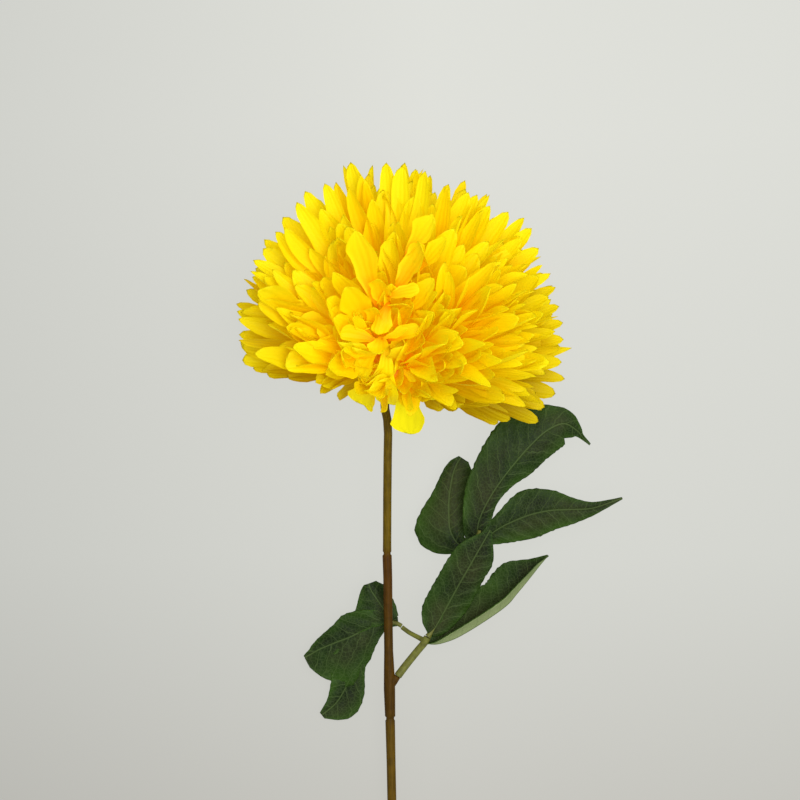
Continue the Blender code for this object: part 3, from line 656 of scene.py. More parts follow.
def blades(name, tree, plan, faces_along, thickness, finish):
    """One mesh of all the blades of a plan, made by the node tree and then baked."""
    values = {
        "Faces Across": FACES_ACROSS, "Faces Along": faces_along, "Thickness": thickness,
        "Surface Softness": SOFT_LANDING, "Finish": finish}
    mesh = bpy.data.meshes.new(name)
    mesh.from_pydata([blade["root"] for blade in plan], [], [])
    for label in plan[0]:
        vector = isinstance(plan[0][label], Vector)
        layer = mesh.attributes.new(label, "FLOAT_VECTOR" if vector else "FLOAT", "POINT")
        for number, blade in enumerate(plan):
            if vector:
                layer.data[number].vector = blade[label]
            else:
                layer.data[number].value = blade[label]
    holder = bpy.data.objects.new(name, mesh)
    bpy.context.scene.collection.objects.link(holder)
    modifier = holder.modifiers.new("blades", "NODES")
    modifier.node_group = tree
    for item in tree.interface.items_tree:
        if item.in_out == "INPUT" and item.name in values:
            modifier[item.identifier] = values[item.name]
    baked = evaluated_mesh(holder)
    holder.modifiers.clear()
    holder.data = baked
    for label in [layer.name for layer in baked.attributes]:
        if label in plan[0] and label not in ("tone", "shaded") or label == "upper":
            baked.attributes.remove(baked.attributes[label])
    shape = bmesh.new()
    shape.from_mesh(baked)
    bmesh.ops.recalc_face_normals(shape, faces=shape.faces)
    # The thin rim is shaded as a crease, so that a blade looks like a sheet and not like a tube
    across = shape.verts.layers.float["across"]
    for edge in shape.edges:
        edge.smooth = min(abs(vertex[across]) for vertex in edge.verts) < RIM_SHARE
    shape.to_mesh(baked)
    shape.free()
    return holder


def facing_inwards(direction):
    """The way a floret's upper face looks: across itself, towards the whorl's axis."""
    return (WHORL_AXIS - direction * WHORL_AXIS.dot(direction)).normalized()


def blade_traits(direction, inwards, length, width, varied):
    """The traits of one blade that the node tree reads."""
    roll = varied["roll"]
    side = direction.cross(inwards)
    bend = varied["bend"]
    if abs(bend) < LEAST_BEND:
        bend = LEAST_BEND
    return {
        "direction": direction,
        "side": side * math.cos(roll) + inwards * math.sin(roll),
        "inwards": inwards * math.cos(roll) - side * math.sin(roll),
        "length": length,
        "half_width": width / 2,
        "bend": bend,
        "radius": length / bend,
        "tone": varied["tone"],
        **{label: varied[label] for label in SHAPE_TRAITS},
    }


def skirt_shade(direction):
    """How much painted shade a floret gets, from 0 to 1: the low ones beside and in front of the stem, in
    the dome's own shade, get most.
    """
    if direction.y > SKIRT_END:
        return 0.0
    in_front = smooth(SKIRT_FRONT_START - SKIRT_FRONT_GROWTH * direction.y)
    skirt = SKIRT_HEIGHT + SKIRT_FRONT_HEIGHT * in_front
    dullness = mixed(SKIRT_LEFT, 1, smooth(direction.x + 0.5)) * mixed(SKIRT_SIDE, 1, in_front)
    return smooth((skirt - direction.z) / skirt) * dullness


def placed_floret(root, tip, width, bend, cup, twist, pointed, tone):
    """The traits of a floret that runs in an arc from a root to a tip, its face to the whorl's axis."""
    chord = tip - root
    along = chord.normalized()
    facing = facing_inwards(along)
    direction = along * math.cos(bend / 2) - facing * math.sin(bend / 2)
    inwards = along * math.sin(bend / 2) + facing * math.cos(bend / 2)
    length = chord.length * (bend / 2) / math.sin(bend / 2)
    # Its tone also sets the phase of its waves, so that neighbours seldom wave alike
    floret = blade_traits(direction, inwards, length, width, {
        **PLACED_TRAITS, "bend": bend, "cup": cup, "twist": twist, "phase": tone * 6, "pointed": pointed,
        "tone": tone})
    floret["root"] = root
    floret["opened"] = PLACED_OPENING
    floret["shaded"] = 0.0
    return floret


def kept_under_dome(floret):
    """Shortens a floret whose tip would stand above the top of the dome."""
    rise = floret["radius"] * (
        floret["direction"].z * math.sin(floret["bend"])
        + floret["inwards"].z * (1 - math.cos(floret["bend"])))
    rise += floret["side"].z * floret["sweep"] * floret["length"]
    room = HEART.z + DOME_HEIGHT - floret["root"].z
    if rise > room:
        floret["length"] *= room / rise
        floret["radius"] *= room / rise


def floret_plan(settings):
    """The traits of every floret, from the whorl outwards along a spiral."""
    draw = random.Random(settings.seed)
    right, up = across_axis(WHORL_AXIS)
    plan = []
    for i in range(settings.count):
        share = (i + 0.5) / settings.count
        varied = {trait: draw.uniform(*limits) for trait, limits in FLORET_VARIATION.items()}
        lean = math.radians(looked_up(SPIRAL_LEANS, share))
        disorder = mixed(WHORL_DISORDER, 1, smooth(lean / FULL_REACH_LEAN))
        for trait in ("lean", "turn", "bend", "roll"):
            varied[trait] *= disorder
        lean = max(0.03, lean + varied["lean"])
        turn = i * GOLDEN_ANGLE + varied["turn"]
        outwards = right * math.cos(turn) + up * math.sin(turn)
        direction = WHORL_AXIS * math.cos(lean) + outwards * math.sin(lean)
        if direction.angle(DOME_AXIS) > DOME_SPAN:
            continue
        if direction.z < -STEEPEST_FALL:
            if i % 2:
                continue
            level = Vector((direction.x, direction.y, 0)).normalized()
            direction = level * math.sqrt(1 - STEEPEST_FALL ** 2) - Vector((0, 0, STEEPEST_FALL))
        heading = math.degrees(math.atan2(direction.y, direction.x))
        full_reach = looked_up(REACHES, heading)
        if lean < WHORL_LEAN:
            continue
        if lean > OPENING_LEAN and draw.random() > (full_reach / CROWDED_REACH) ** CROWDING_CURVE:
            continue
        fullness = mixed(HEART_SHARE, 1, min(1, lean / FULL_REACH_LEAN) ** FULLNESS_CURVE)
        opened = smooth(lean / OPEN_LEAN)
        for trait in ("twist", "roll", "pointed"):
            varied[trait] *= mixed(WHORL_CALM, 1, opened)
        reach = full_reach * MM * fullness * varied["spread"]
        height = mixed(WHORL_HEIGHT, DOME_HEIGHT, smooth((lean - WHORL_LEAN) / OPENING_LEAN))
        reach = min(reach, height / max(direction.z, LEAST_RISE))
        varied["bend"] += mixed(FLORET_BEND_INNER, FLORET_BEND_OUTER, opened)
        varied["cup"] += mixed(FLORET_CUP_INNER, FLORET_CUP_OUTER, opened)
        varied["sweep"] = FLORET_SWEEP * math.sin(SWEEP_TURNS * varied["phase"])
        width = mixed(settings.width_inner, settings.width_outer, opened) * varied["width"]
        floret = blade_traits(
            direction, facing_inwards(direction), reach - FLORET_ROOT_RADIUS, width, varied)
        floret["root"] = HEART + direction * FLORET_ROOT_RADIUS
        kept_under_dome(floret)
        floret["opened"] = opened
        floret["shaded"] = skirt_shade(direction)
        plan.append(floret)
    for root, tip, width, *shape in PLACED_FLORETS:
        plan.append(placed_floret(Vector(root) * MM, Vector(tip) * MM, width * MM, *shape))
    for tip, width, bend in OUTLINE_FLORETS:
        tip = Vector(tip) * MM
        root = HEART + (tip - HEART).normalized() * FLORET_ROOT_RADIUS
        twist, pointed, tone = draw.uniform(-0.3, 0.3), draw.uniform(0.1, 0.6), draw.uniform(0.4, 1.4)
        plan.append(placed_floret(root, tip, width * MM, bend, OUTLINE_CUP, twist, pointed, tone))
        plan[-1]["shaded"] = skirt_shade((tip - HEART).normalized())
    return plan


def bract_plan(settings):
    """The traits of every bract of the calyx, row by row."""
    draw = random.Random(BRACT_SEED)
    right, up = across_axis(DOME_AXIS)
    plan = []
    for row in range(settings.rows):
        length = settings.length * (1 - BRACT_SHORTENING * row)
        for number in range(settings.bracts):
            place = number + row / 2 + draw.uniform(-BRACT_PLACE_STRAY, BRACT_PLACE_STRAY)
            turn = 2 * math.pi * place / settings.bracts
            outwards = right * math.cos(turn) + up * math.sin(turn)
            opening = math.radians(
                BRACT_OPENING + BRACT_OPENING_STEP * row
                + draw.uniform(-BRACT_OPENING_STRAY, BRACT_OPENING_STRAY))
            direction = DOME_AXIS * math.cos(opening) + outwards * math.sin(opening)
            facing = DOME_AXIS * math.sin(opening) - outwards * math.cos(opening)
            bract = blade_traits(direction, facing, length, settings.width, {
                **BRACT_TRAITS, "twist": draw.uniform(-BRACT_TWIST, BRACT_TWIST),
                "phase": draw.uniform(0, 6.28), "tone": draw.random()})
            depth = BRACT_DEPTH + BRACT_DEPTH_STEP * row
            bract["root"] = HEART - DOME_AXIS * depth * MM + outwards * BRACT_ROOT_RADIUS * MM
            plan.append(bract)
    return plan


def ring_walls(shape, rings):
    """Joins closed rings of corners, each to the next, with four-sided faces."""
    walls = []
    for ring, following in zip(rings, rings[1:]):
        for k in range(len(ring)):
            after = (k + 1) % len(ring)
            walls.append(shape.faces.new((ring[k], ring[after], following[after], following[k])))
    return walls


def turned(name, section, finish):
    """A closed solid of revolution round the dome's axis, from (radius, height) points."""
    shape = bmesh.new()
    points = flowed(section, 4)
    rings = []
    for radius, height in points[1:-1]:
        ring = []
        for k in range(TURNED_SIDES):
            turn = 2 * math.pi * k / TURNED_SIDES
            ring.append(shape.verts.new((
                radius * MM * math.cos(turn), radius * MM * math.sin(turn), height * MM)))
        rings.append(ring)
    ends = [shape.verts.new((0, 0, points[0][1] * MM)), shape.verts.new((0, 0, points[-1][1] * MM))]
    ring_walls(shape, rings)
    for k in range(TURNED_SIDES):
        after = (k + 1) % TURNED_SIDES
        shape.faces.new((ends[0], rings[0][after], rings[0][k]))
        shape.faces.new((ends[1], rings[-1][k], rings[-1][after]))
    bmesh.ops.recalc_face_normals(shape, faces=shape.faces)
    facing = DOME_AXIS.to_track_quat("Z", "Y").to_matrix().to_4x4()
    bmesh.ops.transform(shape, matrix=Matrix.Translation(HEART) @ facing, verts=shape.verts)
    return mesh_object(name, shape, [finish])


def stalk_rings(shape, stations, sides, grain):
    """Adds a closed round stalk through (x, y, z, radius) stations, slightly ribbed, to a bmesh."""
    points = [Vector(station[:3]) * MM for station in stations]
    rings = []
    across = Vector((0, 0, 1))
    for number, point in enumerate(points):
        ahead = (points[min(number + 1, len(points) - 1)] - points[max(number - 1, 0)]).normalized()
        right = ahead.cross(across).normalized()
        above = right.cross(ahead)
        ring = []
        for k in range(sides):
            turn = 2 * math.pi * k / sides
            radius = stations[number][3] * MM * (1 + grain * math.cos(STALK_RIBS * turn))
            spoke = right * math.cos(turn) + above * math.sin(turn)
            ring.append(shape.verts.new(point + spoke * radius))
        rings.append(ring)
    faces = [shape.faces.new(rings[0]), shape.faces.new(rings[-1])]
    faces += ring_walls(shape, rings)
    bmesh.ops.recalc_face_normals(shape, faces=faces)


def divided(stations, longest):
    """The stations with straight steps between them, none longer than a length in millimetres."""
    rows = []
    for start, end in zip(stations, stations[1:]):
        gap = (Vector(end[:3]) - Vector(start[:3])).length
        steps = max(1, math.ceil(gap / longest))
        for step in range(steps):
            rows.append(tuple(mixed(a, b, step / steps) for a, b in zip(start, end)))
    rows.append(tuple(stations[-1]))
    return rows


def lobe_rows(shape, stations, settings, seed):
    """Adds one leaf lobe to a bmesh as a sheet across its midrib, with its vein relief.

    Layers tell the material how far a point lies along the midrib, across it and towards the edge.
    """
    marks = shape.verts.layers.float
    along_layer, across_layer, edge_layer = [
        marks.get(label) or marks.new(label) for label in ("along_mm", "across_mm", "edge")]
    draw = random.Random(seed)
    wobble = [draw.uniform(0, 6.28) for _ in range(4)]
    stations = flowed(stations, LOBE_STEPS)
    travelled = 0
    rows = []
    for number, (x, y, z, left, right, left_rise, right_rise) in enumerate(stations):
        before = stations[max(0, number - 1)]
        after = stations[min(len(stations) - 1, number + 1)]
        heading = Vector((after[0] - before[0], after[1] - before[1])).normalized()
        if number:
            travelled += (Vector((x, y, z)) - Vector(stations[number - 1][:3])).length
        ending = min(1, (len(stations) - 1 - number) / LOBE_FADING_ROWS)
        row = []
        for column in range(LOBE_COLUMNS + 1):
            share = column / LOBE_COLUMNS * 2 - 1
            if share > 0:
                reach, rise, shifted = right, right_rise, 0.5
                tooth_start, ripple_start = wobble[0], wobble[2]
            else:
                reach, rise, shifted = left, left_rise, 0
                tooth_start, ripple_start = wobble[1], wobble[3]
            tooth = 1 + TOOTH_SIZE * math.sin(travelled * TOOTH_WAVES + tooth_start) ** 3 * ending
            across = reach * share * tooth
            flat = abs(across)
            vein_place = travelled - flat * VEIN_SLOPE - flat * flat * VEIN_CURVE
            phase = vein_place / (settings.vein_spacing / MM) + shifted
            quilt = -math.cos(2 * math.pi * phase) * QUILT_HEIGHT * smooth(flat / QUILT_START) * ending
            rib = -MIDRIB_DEPTH * math.exp(-(flat / MIDRIB_WIDTH) ** 2) * ending
            ripple = RIPPLE_HEIGHT * math.sin(travelled * RIPPLE_WAVES + ripple_start) * abs(share) ** 3
            vertex = shape.verts.new((
                (x + heading.y * across) * MM,
                (y - heading.x * across) * MM,
                (z + rise * abs(share) ** LOBE_CURVE + quilt + rib + ripple * ending) * MM,
            ))
            vertex[along_layer] = travelled
            vertex[across_layer] = across
            vertex[edge_layer] = abs(share)
            row.append(vertex)
        rows.append(row)
    for row, following in zip(rows, rows[1:]):
        for k in range(LOBE_COLUMNS):
            shape.faces.new((row[k], row[k + 1], following[k + 1], following[k]))


def make_leaf(name, lobes, petiole, settings, finishes, seed):
    """One lobed leaf: its lobes as sheets given their thickness, and its petiole."""
    shape = bmesh.new()
    for number, stations in enumerate(lobes):
        lobe_rows(shape, stations, settings, seed + number)
    leaf = mesh_object(name + "_blade", shape, finishes)
    thick = leaf.modifiers.new("thickness", "SOLIDIFY")
    thick.thickness = settings.thickness
    thick.offset = 0
    thick.use_rim = True
    thick.material_offset = 1
    thick.material_offset_rim = 0
    solid = evaluated_mesh(leaf)
    leaf.modifiers.clear()
    leaf.data = solid
    shape = bmesh.new()
    shape.from_mesh(solid)
    sheet_faces = len(shape.faces)
    stalk_rings(shape, flowed(petiole, 5), 14, 0.0)
    shape.faces.ensure_lookup_table()
    for face in shape.faces[sheet_faces:]:
        face.smooth = True
        face.material_index = 2
    shape.to_mesh(solid)
    shape.free()
    dressed(leaf, name)


def floret_material(settings):
    """Ray florets: thin living petal, matt with a waxy bloom, that lets light through.

    The root is orange and the tip lemon, each floret a little different, with fine veins lengthwise.
    """
    made, tree = new_material("ray_floret_petal")
    along = add(tree, "ShaderNodeAttribute", attribute_name="along").outputs["Fac"]
    across = add(tree, "ShaderNodeAttribute", attribute_name="across").outputs["Fac"]
    tone = add(tree, "ShaderNodeAttribute", attribute_name="tone").outputs["Fac"]
    # Tone moves the change from orange to lemon nearer the root or the tip
    moved = add(tree, "ShaderNodeMath", {0: tone, 1: 0.3, 2: along}, operation="MULTIPLY_ADD")
    centred = add(tree, "ShaderNodeMath", {0: moved, 1: 0.15}, operation="SUBTRACT")
    ramp = add(tree, "ShaderNodeValToRGB", {0: centred})
    ramp_stops(ramp, (
        (0.0, settings.root_colour), (0.26, settings.throat_colour), (0.48, settings.middle_colour),
        (0.74, settings.tip_colour), (1.0, settings.edge_colour)))
    # The thin edges are paler than the face, a painted highlight, and the low florets of the skirt are
    # dulled, painted shade that is lighter towards their tips
    from_middle = add(tree, "ShaderNodeMath", {0: across}, operation="ABSOLUTE")
    # Painted highlight: a floret's thin edges are mixed towards the pale tip colour, for light that catches
    # them
    rim = add(tree, "ShaderNodeMapRange", {
        "Value": from_middle, "From Min": 0.55, "From Max": 1, "To Min": 0, "To Max": 0.65})
    rimmed = add(tree, "ShaderNodeMix", {
        0: rim, 6: ramp, 7: (*settings.edge_colour, 1)}, data_type="RGBA")
    shaded = add(tree, "ShaderNodeAttribute", attribute_name="shaded").outputs["Fac"]
    shade_fading = add(tree, "ShaderNodeMapRange", {
        "Value": along, "From Min": 0.72, "From Max": 0.96, "To Min": 0.95, "To Max": 0.5})
    painted_shade = add(tree, "ShaderNodeMath", {0: shaded, 1: shade_fading}, operation="MULTIPLY")
    colour = add(tree, "ShaderNodeMix", {
        0: painted_shade, 6: rimmed.outputs[2], 7: (*settings.skirt_shade_colour, 1)}, data_type="RGBA").outputs[2]
    # Veins run lengthwise, about 2 mm apart on an outer floret: coarser than real ones, so that they show
    stripes = add(tree, "ShaderNodeMath", {0: across, 1: PETAL_VEINS}, operation="MULTIPLY")
    vein = add(tree, "ShaderNodeMath", {0: stripes}, operation="COSINE")
    mottle = add(tree, "ShaderNodeTexNoise", {
        "Vector": add(tree, "ShaderNodeTexCoord").outputs["Object"], "Scale": PETAL_MOTTLE, "Detail": 3})
    height = add(tree, "ShaderNodeMath", {0: mottle, 1: 2.5, 2: vein}, operation="MULTIPLY_ADD")
    bump = add(tree, "ShaderNodeBump", {"Strength": 0.2, "Distance": 0.0005, "Height": height})
    # Painted light: the florets glow, most near the root, in an orange that stands in for light passed
    # through many petals and filling the gaps between them; florets toned above 1 glow yellower
    filled = add(tree, "ShaderNodeMapRange", {
        "Value": along, "From Min": 0.25, "From Max": 0.85, "To Min": 0.26, "To Max": 0.14})
    glow_lemon_share = add(tree, "ShaderNodeMath", {0: tone, 1: 1}, operation="SUBTRACT")
    glow = add(tree, "ShaderNodeMix", {
        0: glow_lemon_share, 6: (*settings.gap_glow_colour, 1), 7: (*settings.edge_colour, 1)}, data_type="RGBA")
    shader = add(tree, "ShaderNodeBsdfPrincipled", {
        "Base Color": colour, "Roughness": 0.6, "IOR": 1.4, "Specular IOR Level": 0.2,
        "Emission Color": glow.outputs[2], "Emission Strength": filled, "Normal": bump})
    through = add(tree, "ShaderNodeBsdfTranslucent", {"Color": colour, "Normal": bump})
    both = add(tree, "ShaderNodeMixShader", {0: 0.4, 1: shader, 2: through})
    add(tree, "ShaderNodeOutputMaterial", {"Surface": both})
    return made


def pith_material(settings):
    """Receptacle: the orange pith that the florets are rooted in, seen only in the deepest gaps."""
    made, tree = new_material("receptacle_pith")
    grain = add(tree, "ShaderNodeTexNoise", {
        "Vector": add(tree, "ShaderNodeTexCoord").outputs["Object"], "Scale": PITH_GRAIN, "Detail": 4})
    ramp = add(tree, "ShaderNodeValToRGB", {0: grain})
    ramp_stops(ramp, ((0.3, settings.root_colour), (0.7, settings.throat_colour)))
    bump = add(tree, "ShaderNodeBump", {"Strength": 0.4, "Distance": 0.0004, "Height": grain})
    shader = add(tree, "ShaderNodeBsdfPrincipled", {"Base Color": ramp, "Roughness": 0.8, "Normal": bump})
    add(tree, "ShaderNodeOutputMaterial", {"Surface": shader})
    return made


def bract_material(settings):
    """Calyx bracts: soft green leafy scales with a paler dry edge and a fine felt."""
    made, tree = new_material("calyx_bract")
    along = add(tree, "ShaderNodeAttribute", attribute_name="along").outputs["Fac"]
    felt = add(tree, "ShaderNodeTexNoise", {
        "Vector": add(tree, "ShaderNodeTexCoord").outputs["Object"], "Scale": BRACT_FELT, "Detail": 5})
    moved = add(tree, "ShaderNodeMath", {0: felt, 1: 0.3, 2: along}, operation="MULTIPLY_ADD")
    ramp = add(tree, "ShaderNodeValToRGB", {0: moved})
    ramp_stops(ramp, ((0.15, settings.deep_colour), (0.85, settings.colour), (1.2, settings.rim_colour)))
    bump = add(tree, "ShaderNodeBump", {"Strength": 0.35, "Distance": 0.0003, "Height": felt})
    shader = add(tree, "ShaderNodeBsdfPrincipled", {"Base Color": ramp, "Roughness": 0.6, "Normal": bump})
    add(tree, "ShaderNodeOutputMaterial", {"Surface": shader})
    return made


def stem_material(settings):
    """Stem skin: half-woody olive bark with a satin wax, redder under the first joint."""
    made, tree = new_material("half_woody_stem_skin")
    place = add(tree, "ShaderNodeTexCoord").outputs["Object"]
    parts = add(tree, "ShaderNodeSeparateXYZ", {0: place})
    # The ramp runs from the cut end at 0 to the calyx at 1
    low = SHIFT.y + CUT_END.y
    high = SHIFT.y + STEM[0][1] * MM
    share = add(tree, "ShaderNodeMapRange", {
        "Value": parts.outputs["Y"], "From Min": low, "From Max": high})
    ramp = add(tree, "ShaderNodeValToRGB", {0: share})
    ramp_stops(ramp, (
        (0.0, settings.foot_colour), (0.4, settings.foot_colour), (0.44, settings.brown_colour),
        (0.6, settings.brown_colour), (0.66, settings.red_colour), (0.715, settings.red_colour),
        (0.735, settings.neck_colour), (1.0, settings.top_colour)))
    # Fibres are drawn out along the stem
    stretched = add(tree, "ShaderNodeMapping", {"Vector": place, "Scale": (1, 0.06, 1)})
    fibre = add(tree, "ShaderNodeTexNoise", {"Vector": stretched, "Scale": STEM_FIBRE, "Detail": 4})
    fleck = add(tree, "ShaderNodeTexNoise", {"Vector": place, "Scale": STEM_FLECK, "Detail": 3})
    shade = add(tree, "ShaderNodeMapRange", {
        "Value": fibre, "From Min": 0.3, "From Max": 0.7, "To Min": 0.72, "To Max": 1.22})
    blotch = add(tree, "ShaderNodeMapRange", {
        "Value": fleck, "From Min": 0.3, "From Max": 0.7, "To Min": 0.82, "To Max": 1.15})
    both = add(tree, "ShaderNodeMath", {0: shade, 1: blotch}, operation="MULTIPLY")
    coloured = add(tree, "ShaderNodeVectorMath", {0: ramp, 3: both}, operation="SCALE")
    bump = add(tree, "ShaderNodeBump", {"Strength": 0.4, "Distance": 0.0003, "Height": fibre})
    shader = add(tree, "ShaderNodeBsdfPrincipled", {
        "Base Color": coloured, "Roughness": 0.5, "Specular IOR Level": 0.07, "Normal": bump})
    add(tree, "ShaderNodeOutputMaterial", {"Surface": shader})
    return made


def shoot_material(settings):
    """Side shoot skin: young green stalk, smooth and satin, yellower than the leaves."""
    made, tree = new_material("young_shoot_skin")
    place = add(tree, "ShaderNodeTexCoord").outputs["Object"]
    fleck = add(tree, "ShaderNodeTexNoise", {"Vector": place, "Scale": SHOOT_FLECK, "Detail": 4})
    ramp = add(tree, "ShaderNodeValToRGB", {0: fleck})
    ramp_stops(ramp, ((0.3, settings.shoot_deep_colour), (0.7, settings.shoot_colour)))
    bump = add(tree, "ShaderNodeBump", {"Strength": 0.3, "Distance": 0.0003, "Height": fleck})
    shader = add(tree, "ShaderNodeBsdfPrincipled", {
        "Base Color": ramp, "Roughness": 0.45, "Specular IOR Level": 0.2, "Normal": bump})
    add(tree, "ShaderNodeOutputMaterial", {"Surface": shader})
    return made


def leaf_material(name, settings, blade_colour, light_colour, rim_colour, painted_sheen_colour, roughness):
    """Leaf blade: waxy green skin with paler sunken veins and a fine net between them.

    The wax gives a broad satin sheen in the roughness, and patches of painted sheen grey the colour. Side
    veins leave the midrib as on the real leaf.
    """
    made, tree = new_material(name)
    place = add(tree, "ShaderNodeTexCoord").outputs["Object"]
    along = add(tree, "ShaderNodeAttribute", attribute_name="along_mm").outputs["Fac"]
    across = add(tree, "ShaderNodeAttribute", attribute_name="across_mm").outputs["Fac"]
    flat = add(tree, "ShaderNodeMath", {0: across}, operation="ABSOLUTE")
    right = add(tree, "ShaderNodeMath", {0: across, 1: 0}, operation="GREATER_THAN")
    # Side veins, spaced along the midrib and swept forwards, half a space apart on the two sides
    swept = add(tree, "ShaderNodeMath", {0: flat, 1: -VEIN_SLOPE, 2: along}, operation="MULTIPLY_ADD")
    squared = add(tree, "ShaderNodeMath", {0: flat, 1: flat}, operation="MULTIPLY")
    curved = add(tree, "ShaderNodeMath", {0: squared, 1: -VEIN_CURVE, 2: swept}, operation="MULTIPLY_ADD")
    wander = add(tree, "ShaderNodeTexNoise", {"Vector": place, "Scale": VEIN_WANDER, "Detail": 2})
    strayed = add(tree, "ShaderNodeMath", {0: wander, 1: 5.5, 2: curved}, operation="MULTIPLY_ADD")
    spaced = add(tree, "ShaderNodeMath", {0: strayed, 1: settings.vein_spacing / MM}, operation="DIVIDE")
    shifted = add(tree, "ShaderNodeMath", {0: right, 1: 0.5, 2: spaced}, operation="MULTIPLY_ADD")
    nearest = add(tree, "ShaderNodeMath", {0: shifted, 1: 0.5}, operation="PINGPONG")
    side_vein = add(tree, "ShaderNodeMapRange", {
        "Value": nearest, "From Min": 0.01, "From Max": 0.055, "To Min": 0.8, "To Max": 0})
    midrib = add(tree, "ShaderNodeMapRange", {
        "Value": flat, "From Min": 0.18, "From Max": 0.55, "To Min": 1, "To Max": 0})
    # Net veins fill the blade between the side veins
    net = add(tree, "ShaderNodeTexVoronoi", {
        "Vector": place, "Scale": LEAF_NET}, feature="DISTANCE_TO_EDGE")
    net_line = add(tree, "ShaderNodeMapRange", {
        "Value": net.outputs["Distance"], "From Min": 0.02, "From Max": 0.12, "To Min": 0.38, "To Max": 0})
    main_vein = add(tree, "ShaderNodeMath", {0: side_vein, 1: midrib}, operation="MAXIMUM")
    vein = add(tree, "ShaderNodeMath", {0: main_vein, 1: net_line}, operation="MAXIMUM")
    patch = add(tree, "ShaderNodeTexNoise", {"Vector": place, "Scale": LEAF_PATCH, "Detail": 4})
    # The rim is a fresher green, and patches of painted sheen, where the flat blade would mirror the
    # softbox, grey the middle of the blade
    edge = add(tree, "ShaderNodeAttribute", attribute_name="edge").outputs["Fac"]
    rim = add(tree, "ShaderNodeMapRange", {
        "Value": edge, "From Min": 0.4, "From Max": 1, "To Min": 0, "To Max": 0.8})
    inner = add(tree, "ShaderNodeMapRange", {
        "Value": edge, "From Min": 0.3, "From Max": 0.9, "To Min": 1, "To Max": 0.15})
    # This noise sets where painted sheen greys the colour and where the blade is rougher
    wax = add(tree, "ShaderNodeTexNoise", {"Vector": place, "Scale": LEAF_SHEEN_PATCH, "Detail": 2})
    grey = add(tree, "ShaderNodeMapRange", {
        "Value": wax, "From Min": 0.42, "From Max": 0.62, "To Min": 0, "To Max": 0.6})
    satin = add(tree, "ShaderNodeMapRange", {
        "Value": wax, "From Min": 0.45, "From Max": 0.7, "To Min": roughness, "To Max": roughness + 0.12})
    ramp = add(tree, "ShaderNodeValToRGB", {0: patch})
    ramp_stops(ramp, ((0.35, blade_colour), (0.68, light_colour)))
    share = add(tree, "ShaderNodeMath", {0: vein, 1: 0.36}, operation="MULTIPLY")
    patched = add(tree, "ShaderNodeMath", {0: rim, 1: patch}, operation="MULTIPLY")
    rimmed = add(tree, "ShaderNodeMix", {0: patched, 6: ramp, 7: (*rim_colour, 1)}, data_type="RGBA")
    painted_sheen_share = add(tree, "ShaderNodeMath", {0: grey, 1: inner}, operation="MULTIPLY")
    sheened = add(tree, "ShaderNodeMix", {
        0: painted_sheen_share, 6: rimmed.outputs[2], 7: (*painted_sheen_colour, 1)}, data_type="RGBA")
    coloured = add(tree, "ShaderNodeMix", {
        0: share, 6: sheened.outputs[2], 7: (*settings.vein_colour, 1)}, data_type="RGBA")
    sunk = add(tree, "ShaderNodeMath", {0: vein, 1: -1}, operation="MULTIPLY")
    bump = add(tree, "ShaderNodeBump", {"Strength": 0.5, "Distance": 0.0003, "Height": sunk})
    shader = add(tree, "ShaderNodeBsdfPrincipled", {
        "Base Color": coloured.outputs[2], "Roughness": satin, "IOR": 1.45, "Specular IOR Level": 0.1,
        "Normal": bump})
    through = add(tree, "ShaderNodeBsdfTranslucent", {"Color": coloured.outputs[2]})
    both = add(tree, "ShaderNodeMixShader", {0: 0.1, 1: shader, 2: through})
    add(tree, "ShaderNodeOutputMaterial", {"Surface": both})
    return made


def surface_material(settings):
    """Backing paper: matt and pale, lit from behind a little. Its colour holds painted light: darker
    towards the cut end and to the left, as the light falls off, and lighter towards the bloom, which lifts
    the bloom's shadow.
    """
    made, tree = new_material("pale_backing_paper")
    parts = add(tree, "ShaderNodeSeparateXYZ", {0: add(tree, "ShaderNodeTexCoord").outputs["Object"]})
    ramps = []
    for axis, stops in (
            ("Y", ((0.0, settings.near_colour), (0.5, settings.middle_colour), (1.0, settings.far_colour))),
            ("X", ((0.0, (0.88,) * 3), (0.5, (1.02,) * 3), (1.0, (0.99,) * 3)))):
        share = add(tree, "ShaderNodeMapRange", {
            "Value": parts.outputs[axis], "From Min": -SURFACE_FADE, "From Max": SURFACE_FADE})
        ramp = add(tree, "ShaderNodeValToRGB", {0: share})
        ramp_stops(ramp, stops)
        ramps.append(ramp)
    paper_and_painted_light = add(tree, "ShaderNodeVectorMath", {0: ramps[0], 1: ramps[1]}, operation="MULTIPLY")
    paper = add(tree, "ShaderNodeBsdfDiffuse", {"Color": paper_and_painted_light})
    glow = add(tree, "ShaderNodeEmission", {"Color": paper_and_painted_light, "Strength": settings.glow})
    both = add(tree, "ShaderNodeMixShader", {0: settings.glow_share, 1: paper, 2: glow})
    add(tree, "ShaderNodeOutputMaterial", {"Surface": both})
    return made


def colour_property(name, description, code):
    """A colour setting with its default as an sRGB hex value."""
    return bpy.props.FloatVectorProperty(
        name=name, description=description, subtype="COLOR", size=3, min=0, max=1, default=linear(code))


def length_property(name, description, millimetres):
    """A length setting with its default in millimetres."""
    return bpy.props.FloatProperty(
        name=name, description=description, subtype="DISTANCE", unit="LENGTH", min=0,
        default=millimetres * MM, precision=5)


